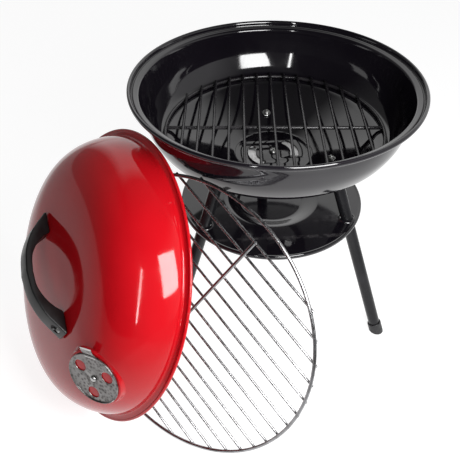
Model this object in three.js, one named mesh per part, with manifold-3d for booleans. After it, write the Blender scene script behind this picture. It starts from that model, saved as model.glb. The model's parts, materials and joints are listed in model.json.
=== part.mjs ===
// Kettle charcoal grill, 36 cm, with the lid and the cooking grid taken off and stood against it.
// Units are millimetres, +Z is up and the floor is z = 0.
import * as THREE from 'three';
import * as BufferGeometryUtils from 'three/addons/utils/BufferGeometryUtils.js';
import Module from 'manifold-3d';

const wasm = await Module();
wasm.setup();

// ---- driving dimensions ----
const RIM_HEIGHT = 371;
const SHEET = 1.2;
const GAP = 0.3;
const ROUND = 52;

const BOWL_FLAT_DROP = 103;
const SLOT_RADIUS = 28;
const SLOT_HALF_WIDTH = 5;
const SLOT_SPAN = 70;
const SLOT_TURN = 13;
const DAMPER_BLADE_RADIUS = 38;
const DAMPER_BLADE_SPAN = 92;
const DAMPER_TURN = 31;

const LEG_RADIUS = 8;
const LEG_WALL = 1.2;
const LEG_SLOPE = 0.36;
const LEG_SPREAD_AT_TRAY = 109.5;
const LEG_TURNS = [90, 210, 330];
const CAP_RADIUS = 9.8;
const CAP_LENGTH = 17;

const TRAY_HEIGHT = 194.5;
const TRAY_RADIUS = 124;
const TRAY_DISH_DEPTH = 8;

const GRATE_RING_RADIUS = 138.5;
const GRATE_RING_WIRE = 2.3;
const GRATE_ROD_WIRE = 1.8;
const GRATE_ROD_PITCH = 19.3;
const GRATE_RODS_EACH_SIDE = 6;
const GRATE_ROD_END = 141.2;
const GRATE_TURN = -4.6;
const GRATE_HEIGHT = 304.5;

const GRID_RING_RADIUS = 171.5;
const GRID_RING_WIRE = 2;
const GRID_ROD_WIRE = 1.5;
const GRID_ROD_PITCH = 20.8;
const GRID_RODS_EACH_SIDE = 7;
const GRID_ROD_END = 173.4;
const GRID_BAR_END = 149;
const GRID_CENTRE = [-125.6, -186.9];
const GRID_FACING = -130.6;
const GRID_LEAN = 20.1;
const GRID_ROD_TURN = -27.1;

const LID_RADIUS = 183.2;
const LID_DEPTH = 76.5;
const LID_DOME_RADIUS = 173.5;
const LID_STEP = 9.6;
const LID_CENTRE = [-216.2, -105.4];
const LID_FACING = 25.15;
const LID_LEAN = -25.61;
const LEAN_FLOOR_GAP = 0.5;

const HANDLE_TURN = 153;
const HANDLE_WIDTH = 20;
const HANDLE_SCREW_OFFSET = 70;
const HANDLE_SEAT = 76.9;
const HANDLE_POCKET = 81;

const VENT_RADIUS = 139.8;
const VENT_HEIGHT = 62.6;
const VENT_TURN = -18.1;
const VENT_TILT = 34;
const SEAT_RADIUS = 36.5;
const SEAT_DROP = 2.4;
const LID_DAMPER_RADIUS = 33.4;
const VENT_HOLE_RADIUS = 7.5;
const VENT_HOLE_OFFSET = 20.8;
const VENT_HOLE_TURN = 178;

// ---- finishes ----
const finish = (colour, roughness, metalness) => ({ colour, roughness, metalness });
const BLACK_ENAMEL = finish(0x0c0b0d, 0.12, 0);
const RED_ENAMEL = finish(0xb3141c, 0.14, 0);
const BLACK_COAT = finish(0x15151a, 0.3, 0);
const BLACK_PLASTIC = finish(0x0e0e10, 0.4, 0);
const CHROME = finish(0xb9bcc0, 0.18, 1);
const ZINC = finish(0x9a9994, 0.35, 1);

const root = new THREE.Group();

// ---- helpers ----
const rad = (degrees) => (degrees * Math.PI) / 180;

/** Turns a three.js geometry into a solid for joining and cutting. */
function solid(geometry) {
  const g = geometry.clone();
  g.deleteAttribute('normal');
  g.deleteAttribute('uv');
  const merged = BufferGeometryUtils.mergeVertices(g, 1e-5);
  return new wasm.Manifold(new wasm.Mesh({
    numProp: 3,
    vertProperties: new Float32Array(merged.attributes.position.array),
    triVerts: new Uint32Array(merged.index.array),
  }));
}

/** Turns a solid back into a three.js geometry. */
function toGeometry(body) {
  const mesh = body.getMesh();
  const g = new THREE.BufferGeometry();
  g.setAttribute('position', new THREE.BufferAttribute(new Float32Array(mesh.vertProperties), 3));
  g.setIndex(new THREE.BufferAttribute(new Uint32Array(mesh.triVerts), 1));
  return g;
}

/** Adds one named piece to the part. */
function add(name, body, look) {
  const geometry = toGeometry(body);
  geometry.computeVertexNormals();
  const material = new THREE.MeshStandardMaterial({
    color: look.colour,
    roughness: look.roughness,
    metalness: look.metalness,
  });
  const mesh = new THREE.Mesh(geometry, material);
  mesh.name = name;
  root.add(mesh);
}

/** A solid of revolution about +Z from a closed or axis-to-axis outline of [radius, height]. */
function turned(outline, segments = ROUND) {
  const points = outline.map(([r, z]) => new THREE.Vector2(r, z));
  const g = new THREE.LatheGeometry(points, segments);
  g.rotateX(Math.PI / 2);
  const body = solid(g);
  return body.volume() < 0 ? solid(flip(g)) : body;
}

/** Reverses the winding of every triangle. */
function flip(geometry) {
  const g = geometry.clone();
  const index = g.index.array;
  for (let i = 0; i < index.length; i += 3) {
    const first = index[i];
    index[i] = index[i + 2];
    index[i + 2] = first;
  }
  return g;
}

/** An upright round bar from z = low to z = high. */
function bar(radius, low, high, segments = 16) {
  return turned([[0, low], [radius, low], [radius, high], [0, high]], segments);
}

/** The outline moved sideways by the sheet's thickness, to the right of its running direction. */
function offsetOutline(outline, distance) {
  return outline.map(([r, z], i) => {
    const before = outline[Math.max(i - 1, 0)];
    const after = outline[Math.min(i + 1, outline.length - 1)];
    const run = new THREE.Vector2(after[0] - before[0], after[1] - before[1]).normalize();
    const side = r === 0 ? new THREE.Vector2(0, -1) : new THREE.Vector2(run.y, -run.x);
    return [Math.max(r + side.x * distance, 0), z + side.y * distance];
  });
}

/** Applies a three.js matrix to a solid. */
function placed(body, matrix) {
  return body.transform(matrix.elements);
}

/** A matrix whose columns are the three given axes and the given origin. */
function frame(x, y, z, origin) {
  return new THREE.Matrix4().makeBasis(x, y, z).setPosition(origin);
}

/** Joins a list of solids into one. */
function joined(bodies) {
  return wasm.Manifold.union(bodies);
}

/** A straight round wire between two points. */
function wire(from, to, radius, segments = 6) {
  const a = new THREE.Vector3(...from);
  const b = new THREE.Vector3(...to);
  const along = b.clone().sub(a);
  const turn = new THREE.Quaternion().setFromUnitVectors(
    new THREE.Vector3(0, 0, 1),
    along.clone().normalize(),
  );
  const matrix = new THREE.Matrix4().compose(a, turn, new THREE.Vector3(1, 1, 1));
  return placed(bar(radius, 0, along.length(), segments), matrix);
}

/** A ring of round wire lying flat about the origin. */
function wireRing(ringRadius, wireRadius, segments = ROUND) {
  return solid(new THREE.TorusGeometry(ringRadius, wireRadius, 6, segments));
}

/** A flat plate cut from a shape, from z = low to z = high. */
function plate(shape, low, high, curveSegments = 12) {
  const g = new THREE.ExtrudeGeometry(shape, {
    depth: high - low,
    bevelEnabled: false,
    curveSegments,
  });
  g.translate(0, 0, low);
  return solid(g);
}

/** A slot that follows an arc, with rounded ends. */
function arcSlot(radius, halfWidth, middle, span) {
  const shape = new THREE.Shape();
  const from = rad(middle - span / 2);
  const to = rad(middle + span / 2);
  shape.absarc(0, 0, radius + halfWidth, from, to, false);
  shape.absarc(radius * Math.cos(to), radius * Math.sin(to), halfWidth, to, to + Math.PI, false);
  shape.absarc(0, 0, radius - halfWidth, to, from, true);
  shape.absarc(radius * Math.cos(from), radius * Math.sin(from), halfWidth, from + Math.PI,
    from + 2 * Math.PI, false);
  return shape;
}

/** A pan-head screw pointing down, its head resting on z = 0. */
function panScrew(headRadius, headHeight, shankRadius, length) {
  return turned([
    [0, -length],
    [shankRadius, -length],
    [shankRadius, 0],
    [headRadius, 0],
    [headRadius, headHeight * 0.35],
    [headRadius * 0.82, headHeight * 0.78],
    [headRadius * 0.45, headHeight],
    [0, headHeight],
  ], 12);
}

/** A hexagon nut with a clear hole, from z = low to z = high. */
function nut(outer, hole, low, high) {
  return bar(outer, low, high, 6).subtract(bar(hole, low - 1, high + 1, 12));
}

/** A round washer or short tube, from z = low to z = high. */
function collar(outer, hole, low, high, sides) {
  return turned([[hole, low], [outer, low], [outer, high], [hole, high], [hole, low]], sides);
}

// ---- bowl ----
const rim = (drop) => RIM_HEIGHT - drop;
const bowlInside = [
  [0, BOWL_FLAT_DROP],
  [50, BOWL_FLAT_DROP],
  [54, 101.6],
  [80, 91.8],
  [108, 80.4],
  [131, 70.2],
  [142.5, 68.4],
  [146, 66],
  [152.6, 56.6],
  [158.8, 44.5],
  [163.2, 29.5],
  [166, 12],
  [168.4, 7.2],
  [173.4, 5.6],
].map(([r, drop]) => [r, rim(drop)]);
const bowlBead = [
  [174.6, 3.4],
  [175.6, 0.8],
  [177.6, 0],
  [179.4, 0.8],
  [180, 3],
  [179.2, 5.8],
  [177.4, 6.9],
].map(([r, drop]) => [r, rim(drop)]);

/** The black enamelled bowl with its rolled rim, grate ledge, air slots and bolt holes. */
function makeBowl() {
  const outside = offsetOutline(bowlInside, SHEET).reverse();
  const shell = turned([...bowlInside, ...bowlBead, ...outside]);
  const floor = rim(BOWL_FLAT_DROP);
  const cuts = [0, 180].map((half) => plate(
    arcSlot(SLOT_RADIUS, SLOT_HALF_WIDTH, SLOT_TURN + half, SLOT_SPAN),
    floor - 5,
    floor + 5,
    14,
  ));
  cuts.push(bar(3.1, floor - 5, floor + 5, 20));
  for (const turn of LEG_TURNS) {
    cuts.push(placed(bar(3.3, -12, 12, 20), legFrame(turn, legTopLength())));
  }
  return shell.subtract(joined(cuts));
}

// ---- legs ----
const legAxis = new THREE.Vector3(-LEG_SLOPE, 0, 1).normalize();

/** The distance along a leg from the floor to the bowl's underside. */
function legTopLength() {
  const height = rim(91.8) - SHEET;
  return height / legAxis.z;
}

/** The frame of a leg at a distance up from the floor, with z running up the leg. */
function legFrame(turn, distance) {
  const foot = LEG_SPREAD_AT_TRAY + LEG_SLOPE * TRAY_HEIGHT;
  const origin = new THREE.Vector3(foot, 0, 0).addScaledVector(legAxis, distance);
  const side = new THREE.Vector3(0, 1, 0);
  const across = side.clone().cross(legAxis);
  const matrix = frame(across, side, legAxis, origin);
  return new THREE.Matrix4().makeRotationZ(rad(turn)).multiply(matrix);
}

const LEG_BOTTOM = 6.5;
const LEG_TOP = legTopLength() - 4.2;

/** A leg tube, open at both ends. */
function makeLeg(turn) {
  const tube = turned([
    [LEG_RADIUS - LEG_WALL, LEG_BOTTOM],
    [LEG_RADIUS, LEG_BOTTOM],
    [LEG_RADIUS, LEG_TOP],
    [LEG_RADIUS - LEG_WALL, LEG_TOP],
    [LEG_RADIUS - LEG_WALL, LEG_BOTTOM],
  ], 20);
  return placed(tube, legFrame(turn, 0));
}

/** The threaded insert in the top of a leg that the bolt screws into. */
function makeInsert(turn) {
  const insert = turned([
    [3.3, LEG_TOP - 16],
    [LEG_RADIUS - LEG_WALL - GAP, LEG_TOP - 16],
    [LEG_RADIUS - LEG_WALL - GAP, LEG_TOP + GAP],
    [LEG_RADIUS, LEG_TOP + GAP],
    [LEG_RADIUS, LEG_TOP + 2.2],
    [3.3, LEG_TOP + 2.2],
    [3.3, LEG_TOP - 16],
  ], 14);
  return placed(insert, legFrame(turn, 0));
}

/** A bolt from inside the bowl down into a leg. */
function makeLegBolt(turn) {
  return placed(panScrew(4.2, 2.9, 2.8, 18), legFrame(turn, legTopLength() + SHEET + 2.1));
}

/** The washer under a leg bolt's head. */
function makeLegWasher(turn) {
  return placed(collar(5.6, 3.2, 0.55, 1.75, 16), legFrame(turn, legTopLength() + SHEET));
}

/** A moulded cap on the foot of a leg, cut level so that it stands flat. */
function makeCap(turn) {
  const cup = turned([
    [0, -8],
    [CAP_RADIUS, -8],
    [CAP_RADIUS, CAP_LENGTH - 1],
    [CAP_RADIUS - 0.8, CAP_LENGTH],
    [LEG_RADIUS + GAP, CAP_LENGTH],
    [LEG_RADIUS + GAP, LEG_BOTTOM - GAP],
    [0, LEG_BOTTOM - GAP],
  ], 20);
  const below = wasm.Manifold.cube([60, 60, 40], true).translate([0, 0, -20]);
  const foot = legFrame(turn, 0).elements;
  return placed(cup, legFrame(turn, 0)).subtract(below.translate([foot[12], foot[13], 0]));
}

// ---- ash tray ----
/** The round ash tray with its dished middle, curled edge and three leg holes. */
function makeTray() {
  const top = [
    [0, -TRAY_DISH_DEPTH],
    [42, -TRAY_DISH_DEPTH],
    [46, -TRAY_DISH_DEPTH + 0.8],
    [62, -1],
    [67, 0],
    [119, 0],
    [122, 0.6],
    [TRAY_RADIUS, -1.6],
    [TRAY_RADIUS - 0.6, -4.6],
  ].map(([r, z]) => [r, z + TRAY_HEIGHT]);
  const under = offsetOutline(top, SHEET).reverse();
  const shell = turned([...top, ...under], 48);
  const collars = [];
  const holes = [];
  for (const turn of LEG_TURNS) {
    const x = LEG_SPREAD_AT_TRAY * Math.cos(rad(turn));
    const y = LEG_SPREAD_AT_TRAY * Math.sin(rad(turn));
    const lip = turned([
      [7, -SHEET],
      [12, -SHEET],
      [12, 0],
      [10.4, 1.9],
      [7, 1.9],
      [7, -SHEET],
    ], 20);
    collars.push(lip.translate([x, y, TRAY_HEIGHT]));
    const at = TRAY_HEIGHT / legAxis.z;
    holes.push(placed(bar(LEG_RADIUS + GAP + 0.05, -14, 14, 20), legFrame(turn, at)));
  }
  return joined([shell, ...collars]).subtract(joined(holes));
}

// ---- bowl damper ----
const DAMPER_TOP = rim(BOWL_FLAT_DROP) - SHEET - GAP;

/** The two-bladed slide under the bowl that shuts its air slots, with a bent finger tab. */
function makeBowlDamper() {
  const shape = new THREE.Shape();
  const half = DAMPER_BLADE_SPAN / 2;
  const hub = 11;
  const first = DAMPER_TURN;
  shape.absarc(0, 0, DAMPER_BLADE_RADIUS, rad(first - half), rad(first + half), false);
  shape.absarc(0, 0, hub, rad(first + half), rad(first + 180 - half), false);
  shape.absarc(0, 0, DAMPER_BLADE_RADIUS, rad(first + 180 - half), rad(first + 180 + half), false);
  shape.absarc(0, 0, hub, rad(first + 180 + half), rad(first + 360 - half), false);
  const blades = plate(shape, DAMPER_TOP - SHEET, DAMPER_TOP, 20);
  const tab = wasm.Manifold.cube([12, 13, SHEET], true).translate([42, 0, DAMPER_TOP - SHEET / 2]);
  const lip = wasm.Manifold.cube([SHEET, 13, 12], true)
    .translate([48 - SHEET / 2, 0, DAMPER_TOP - 6]);
  const finger = joined([tab, lip]).rotate([0, 0, first + 180]);
  return joined([blades, finger]).subtract(bar(3.1, DAMPER_TOP - 5, DAMPER_TOP + 5, 20));
}

// ---- wire grates ----
/** A round grate of parallel rods lying on a ring, with one cross bar under them. */
function makeGrate(spec) {
  const lift = (spec.ringWire + spec.rodWire) * 0.86;
  const bodies = [wireRing(spec.ring, spec.ringWire)];
  for (let i = -spec.each; i <= spec.each; i += 1) {
    const offset = i * spec.pitch;
    const half = Math.sqrt(spec.rodEnd ** 2 - offset ** 2);
    bodies.push(wire([offset, -half, lift], [offset, half, lift], spec.rodWire));
  }
  const barDrop = lift - (spec.barWire + spec.rodWire) * 0.86;
  bodies.push(wire([-spec.barEnd, 0, barDrop], [spec.barEnd, 0, barDrop], spec.barWire));
  return joined(bodies);
}

/** The fire grate that carries the charcoal, on the bowl's ledge. */
function makeCharcoalGrate() {
  const grate = makeGrate({
    ring: GRATE_RING_RADIUS,
    ringWire: GRATE_RING_WIRE,
    rodWire: GRATE_ROD_WIRE,
    barWire: GRATE_RING_WIRE,
    pitch: GRATE_ROD_PITCH,
    each: GRATE_RODS_EACH_SIDE,
    rodEnd: GRATE_ROD_END,
    barEnd: GRATE_RING_RADIUS,
  });
  return grate.rotate([0, 0, GRATE_TURN]).translate([0, 0, GRATE_HEIGHT]);
}

/** Axes of a piece that leans: z along its facing direction, x level. */
function leaningAxes(facing, lean) {
  const z = new THREE.Vector3(
    Math.cos(rad(facing)) * Math.cos(rad(lean)),
    Math.sin(rad(facing)) * Math.cos(rad(lean)),
    Math.sin(rad(lean)),
  );
  const x = new THREE.Vector3(-Math.sin(rad(facing)), Math.cos(rad(facing)), 0);
  return { x, y: z.clone().cross(x), z };
}

/** The chromed cooking grid, stood on its edge and leaning on the bowl with its underside outward. */
function makeCookingGrid() {
  const grid = makeGrate({
    ring: GRID_RING_RADIUS,
    ringWire: GRID_RING_WIRE,
    rodWire: GRID_ROD_WIRE,
    barWire: GRID_RING_WIRE,
    pitch: GRID_ROD_PITCH,
    each: GRID_RODS_EACH_SIDE,
    rodEnd: GRID_ROD_END,
    barEnd: GRID_BAR_END,
  });
  const flipped = grid.rotate([180, 0, 0]).rotate([0, 0, GRID_ROD_TURN + 90]);
  const axes = leaningAxes(GRID_FACING, GRID_LEAN);
  const leaning = placed(flipped, frame(axes.x, axes.y, axes.z, new THREE.Vector3()));
  const low = leaning.boundingBox().min[2];
  return leaning.translate([...GRID_CENTRE, LEAN_FLOOR_GAP - low]);
}

// ---- lid ----
/** Height of the dome's outside above the lid's rim plane at a turn of the profile angle. */
function domePoint(angle) {
  const r = LID_DOME_RADIUS * Math.cos(rad(angle)) ** 0.33;
  const z = LID_STEP + (LID_DEPTH - LID_STEP) * Math.sin(rad(angle)) ** 1.45;
  return [r, z];
}

const domeAngles = [87.5, 80, 70, 60, 50, 40, 30, 21, 12, 5];
const domeOutside = [[0, LID_DEPTH], ...domeAngles.map(domePoint), [LID_DOME_RADIUS, LID_STEP - 1.2]];

/** The frame of the vent's pressed seat in the lid's own frame, with z out of the dome. */
function ventFrame() {
  const out = new THREE.Vector3(Math.cos(rad(VENT_TURN)), Math.sin(rad(VENT_TURN)), 0);
  const up = new THREE.Vector3(0, 0, 1);
  const z = up.clone().multiplyScalar(Math.cos(rad(VENT_TILT)))
    .addScaledVector(out, Math.sin(rad(VENT_TILT)));
  const x = out.clone().multiplyScalar(Math.cos(rad(VENT_TILT)))
    .addScaledVector(up, -Math.sin(rad(VENT_TILT)));
  const y = z.clone().cross(x);
  const origin = out.clone().multiplyScalar(VENT_RADIUS).addScaledVector(up, VENT_HEIGHT);
  origin.addScaledVector(z, -SEAT_DROP);
  return frame(x, y, z, origin);
}

/** The frame of the lid where it leans, with z from its rim to its crown. */
function lidFrame() {
  const axes = leaningAxes(LID_FACING, LID_LEAN);
  const z = axes.z.clone().negate();
  const x = axes.x.clone().negate();
  const y = z.clone().cross(x);
  const height = LID_RADIUS * Math.cos(rad(LID_LEAN));
  return frame(x, y, z, new THREE.Vector3(...LID_CENTRE, height));
}

/** The positions of the three vent holes, turned by an angle from the damper's own. */
function ventHoles(turn, low, high) {
  return [0, 120, 240].map((step) => {
    const at = rad(VENT_HOLE_TURN + turn + step);
    return bar(VENT_HOLE_RADIUS, low, high, 18)
      .translate([VENT_HOLE_OFFSET * Math.cos(at), VENT_HOLE_OFFSET * Math.sin(at), 0]);
  });
}

/** The red enamelled lid with its stepped rim, pressed vent seat, vent holes and screw holes. */
function makeLid() {
  const edge = [
    [LID_DOME_RADIUS + 1.2, 4],
    [179.6, 3.3],
    [181.4, 4],
    [LID_RADIUS, 2.2],
    [182.4, 0.3],
    [181.2, 0],
    [179.4, 2],
    [LID_DOME_RADIUS, 2.5],
  ];
  const inside = offsetOutline(domeOutside, SHEET).slice(0, -1);
  const last = [LID_DOME_RADIUS - SHEET, LID_STEP - 1.2];
  const inner = [...inside, last, [LID_DOME_RADIUS - SHEET, 4.4]].reverse();
  const shell = turned([...domeOutside, ...edge, ...inner]);
  const solidDome = turned([...domeOutside, [LID_DOME_RADIUS, 0], [0, 0]]);
  const vent = ventFrame();
  const well = placed(bar(SEAT_RADIUS - 0.6, -20, 20, 32), vent);
  const pan = placed(bar(SEAT_RADIUS, -SHEET, 0, 32), vent);
  const skirt = placed(collar(SEAT_RADIUS, SEAT_RADIUS - SHEET, -4.6, 0, 32), vent);
  const wall = placed(collar(SEAT_RADIUS, SEAT_RADIUS - SHEET, -SHEET, 8, 32), vent)
    .intersect(solidDome);
  const cuts = ventHoles(60, -4, 4).map((hole) => placed(hole, vent));
  cuts.push(placed(bar(2.6, -5, 5, 16), vent));
  for (const side of [-1, 1]) {
    cuts.push(bar(2.9, LID_DEPTH - 8, LID_DEPTH + 8, 16)
      .translate([side * HANDLE_SCREW_OFFSET, 0, 0])
      .rotate([0, 0, HANDLE_TURN]));
  }
  return joined([shell.subtract(well), pan, skirt, wall]).subtract(joined(cuts));
}

/** The arched black handle, a broad bar whose two feet stand on the lid's crown. */
function makeHandle() {
  const outer = [[79, 79.4], [74.8, 82.4], [64.3, 91], [52, 99.6], [28, 109.6], [0, 113.2]];
  const inner = [[0, 105], [19.8, 102.8], [35, 95.4], [44.5, 87], [52, HANDLE_SEAT]];
  const mirror = (points) => points.map(([s, h]) => new THREE.Vector2(-s, h)).reverse();
  const shape = new THREE.Shape();
  shape.moveTo(79, HANDLE_SEAT);
  shape.lineTo(79, 79.4);
  shape.splineThru([...outer.slice(1).map(([s, h]) => new THREE.Vector2(s, h)),
    ...mirror(outer).slice(1)]);
  shape.lineTo(-79, HANDLE_SEAT);
  shape.lineTo(-52, HANDLE_SEAT);
  shape.splineThru([...mirror(inner).slice(1), ...inner.slice(1)
    .map(([s, h]) => new THREE.Vector2(s, h))]);
  shape.lineTo(79, HANDLE_SEAT);
  const bevel = 1.6;
  const g = new THREE.ExtrudeGeometry(shape, {
    depth: HANDLE_WIDTH - 2 * bevel,
    bevelEnabled: true,
    bevelThickness: bevel,
    bevelSize: bevel * 0.6,
    bevelOffset: -bevel * 0.6,
    bevelSegments: 1,
    curveSegments: 2,
  });
  g.translate(0, 0, -HANDLE_WIDTH / 2 + bevel);
  g.rotateX(Math.PI / 2);
  const cuts = [];
  for (const side of [-1, 1]) {
    cuts.push(bar(2.9, 70, 90, 16).translate([side * HANDLE_SCREW_OFFSET, 0, 0]));
    cuts.push(bar(5.2, HANDLE_POCKET, 100, 24).translate([side * HANDLE_SCREW_OFFSET, 0, 0]));
  }
  return solid(g).subtract(joined(cuts)).rotate([0, 0, HANDLE_TURN]);
}

/** A screw, or its nut, at one foot of the handle. */
function atHandleFoot(body, side) {
  return body.translate([side * HANDLE_SCREW_OFFSET, 0, 0]).rotate([0, 0, HANDLE_TURN]);
}

/** The steel disc that turns on the lid's vent, with three holes and an upturned tab. */
function makeLidDamper() {
  const disc = turned([
    [0, GAP],
    [LID_DAMPER_RADIUS, GAP],
    [LID_DAMPER_RADIUS, GAP + SHEET - 0.3],
    [LID_DAMPER_RADIUS - 0.4, GAP + SHEET],
    [0, GAP + SHEET],
  ], 36);
  const tab = wasm.Manifold.cube([SHEET, 15, 10], true)
    .translate([LID_DAMPER_RADIUS - 0.9, 0, GAP + 5])
    .rotate([0, 0, 127]);
  const cuts = ventHoles(0, -2, 4);
  cuts.push(bar(2.6, -2, 4, 16));
  return joined([disc, tab]).subtract(joined(cuts));
}

/** The rivet that holds the damper to the lid. */
function makeVentRivet() {
  const top = GAP + SHEET + GAP;
  const under = -SHEET - GAP;
  return turned([
    [0, under - 1.6],
    [3.2, under - 1.6],
    [4.4, under - 0.8],
    [4.4, under],
    [2.2, under],
    [2.2, top],
    [5, top],
    [4.2, top + 1.6],
    [0, top + 2.5],
  ], 14);
}

// ---- assembly ----
add('bowl', makeBowl(), BLACK_ENAMEL);
add('ash_tray', makeTray(), BLACK_ENAMEL);
LEG_TURNS.forEach((turn, i) => {
  const place = ['rear', 'left', 'right'][i];
  add(`leg_${place}`, makeLeg(turn), BLACK_COAT);
  add(`leg_insert_${place}`, makeInsert(turn), ZINC);
  add(`leg_bolt_${place}`, makeLegBolt(turn), ZINC);
  add(`leg_washer_${place}`, makeLegWasher(turn), ZINC);
  add(`leg_cap_${place}`, makeCap(turn), BLACK_PLASTIC);
});
add('bowl_damper', makeBowlDamper(), ZINC);
const bowlFloor = rim(BOWL_FLAT_DROP);
add('bowl_damper_bolt', panScrew(5.4, 3.4, 2.6, 12).translate([0, 0, bowlFloor + GAP]), ZINC);
add('bowl_damper_nut', nut(5, 3, -6.6, -3.2).translate([0, 0, bowlFloor]), ZINC);
add('charcoal_grate', makeCharcoalGrate(), BLACK_COAT);
add('cooking_grid', makeCookingGrid(), CHROME);

const lidPlace = lidFrame();
const ventPlace = lidPlace.clone().multiply(ventFrame());
add('lid', placed(makeLid(), lidPlace), RED_ENAMEL);
add('lid_handle', placed(makeHandle(), lidPlace), BLACK_PLASTIC);
[-1, 1].forEach((side, i) => {
  const place = ['lower', 'upper'][i];
  const screw = panScrew(4.4, 2.8, 2.5, 13).translate([0, 0, HANDLE_POCKET + GAP]);
  const screwNut = nut(4.6, 2.9, LID_DEPTH - 5.4, LID_DEPTH - 2.2);
  add(`handle_screw_${place}`, placed(atHandleFoot(screw, side), lidPlace), ZINC);
  add(`handle_nut_${place}`, placed(atHandleFoot(screwNut, side), lidPlace), ZINC);
});
add('lid_damper', placed(makeLidDamper(), ventPlace), ZINC);
add('lid_damper_rivet', placed(makeVentRivet(), ventPlace), ZINC);

// The part's origin is the middle of its footprint, on the floor.
root.updateMatrixWorld(true);
const extent = new THREE.Box3().setFromObject(root);
const middle = extent.getCenter(new THREE.Vector3());
for (const mesh of root.children) {
  mesh.geometry.translate(-middle.x, -middle.y, -extent.min.z);
}

export default root;
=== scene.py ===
"""The looks of a kettle charcoal grill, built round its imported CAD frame.

Sizes are in millimetres unless a name says otherwise. Each piece is modelled in its own frame and
placed in the row frame, in metres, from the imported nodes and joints.
"""

import json
import logging
import math
from bisect import bisect_right
from dataclasses import dataclass, field
from enum import Enum
from typing import Iterable, Optional, Sequence

import bmesh
import bpy
from mathutils import Matrix, Vector
from mathutils.geometry import tessellate_polygon


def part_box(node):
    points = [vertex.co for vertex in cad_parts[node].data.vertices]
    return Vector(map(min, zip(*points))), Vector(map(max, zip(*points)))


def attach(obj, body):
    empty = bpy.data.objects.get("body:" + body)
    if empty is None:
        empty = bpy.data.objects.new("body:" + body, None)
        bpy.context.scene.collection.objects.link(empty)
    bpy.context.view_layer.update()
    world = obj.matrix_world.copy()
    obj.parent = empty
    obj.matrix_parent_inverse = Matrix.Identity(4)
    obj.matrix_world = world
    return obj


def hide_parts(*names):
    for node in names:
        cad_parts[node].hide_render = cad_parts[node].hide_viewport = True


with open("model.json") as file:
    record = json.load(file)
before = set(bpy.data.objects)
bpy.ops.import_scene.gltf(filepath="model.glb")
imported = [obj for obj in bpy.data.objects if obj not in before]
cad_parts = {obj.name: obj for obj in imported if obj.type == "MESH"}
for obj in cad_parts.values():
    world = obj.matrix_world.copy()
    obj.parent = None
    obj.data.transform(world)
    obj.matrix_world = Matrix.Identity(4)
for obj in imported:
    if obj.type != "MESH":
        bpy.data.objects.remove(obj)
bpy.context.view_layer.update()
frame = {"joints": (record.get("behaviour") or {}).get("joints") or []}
MM = 0.001
log = logging.getLogger("kettle_grill")

Span = tuple[float, float]
Triple = tuple[float, float, float]
Outline = list[Span]
Path = Sequence[Span]
Ring = list[int]
Socket = bpy.types.NodeSocket

SHARP = 38.0  # the angle in degrees from which an edge stays sharp
SHEET = 1.2  # the thickness of the enamelled sheet
LEG_TURNS = {"rear": 90.0, "left": 210.0, "right": 330.0}  # each leg's direction, in degrees
LEG_SLOPE = 0.36  # how far a leg spreads for each unit of height
LEG_SPREAD = 109.5  # the distance from the bowl's axis to a leg at the tray's height
TINY = 1e-6  # a length that counts as nothing
MERGE = 2e-6  # points closer than this become one, in metres


class Body(Enum):
    """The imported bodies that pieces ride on."""

    BASE = "base"
    LID = "lid"
    COOKING_GRID = "cooking_grid"
    CHARCOAL_GRATE = "charcoal_grate"
    BOWL_DAMPER = "bowl_damper"
    LID_DAMPER = "lid_damper"


class Slot(Enum):
    """The record's material slots."""

    BLACK_ENAMEL = "black_enamel"
    RED_ENAMEL = "red_enamel"
    LEG_COAT = "leg_coat"
    CAP_PLASTIC = "cap_plastic"
    BLACK_PLASTIC = "black_plastic"
    GRATE_WIRE = "grate_wire"
    CHROME_WIRE = "chrome_wire"
    DAMPER_STEEL = "damper_steel"
    ZINC = "zinc"


def joint(name: str) -> dict:
    """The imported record's entry of a named joint."""
    return next(j for j in frame["joints"] if j["name"] == name)


def basis(x: Vector, y: Vector, z: Vector, origin: Vector) -> Matrix:
    """The frame with three given axes and an origin."""
    return Matrix.Translation(origin) @ Matrix((x, y, z)).transposed().to_4x4()


def turned(degrees: float) -> Matrix:
    """A turn about the z axis."""
    return Matrix.Rotation(math.radians(degrees), 4, "Z")


def raised(height: float) -> Matrix:
    """A move along the z axis."""
    return Matrix.Translation((0, 0, height))


def polar(radius: float, angle: float, z: float = 0.0) -> Vector:
    """The point at a radius and an angle in radians from +x, at a height."""
    return Vector((radius * math.cos(angle), radius * math.sin(angle), z))


def to_metres(place: Matrix) -> Matrix:
    """Turns a frame in millimetres into one that takes millimetres to metres."""
    return Matrix.Scale(MM, 4) @ place


def bowl_axis() -> Vector:
    """The point on the floor under the middle of the bowl, in millimetres."""
    low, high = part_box("bowl")
    return Vector(((low.x + high.x) / 2, (low.y + high.y) / 2, 0)) / MM


def rim_height() -> float:
    """The height of the bowl's rim above the floor, in millimetres."""
    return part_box("bowl")[1].z / MM


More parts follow.
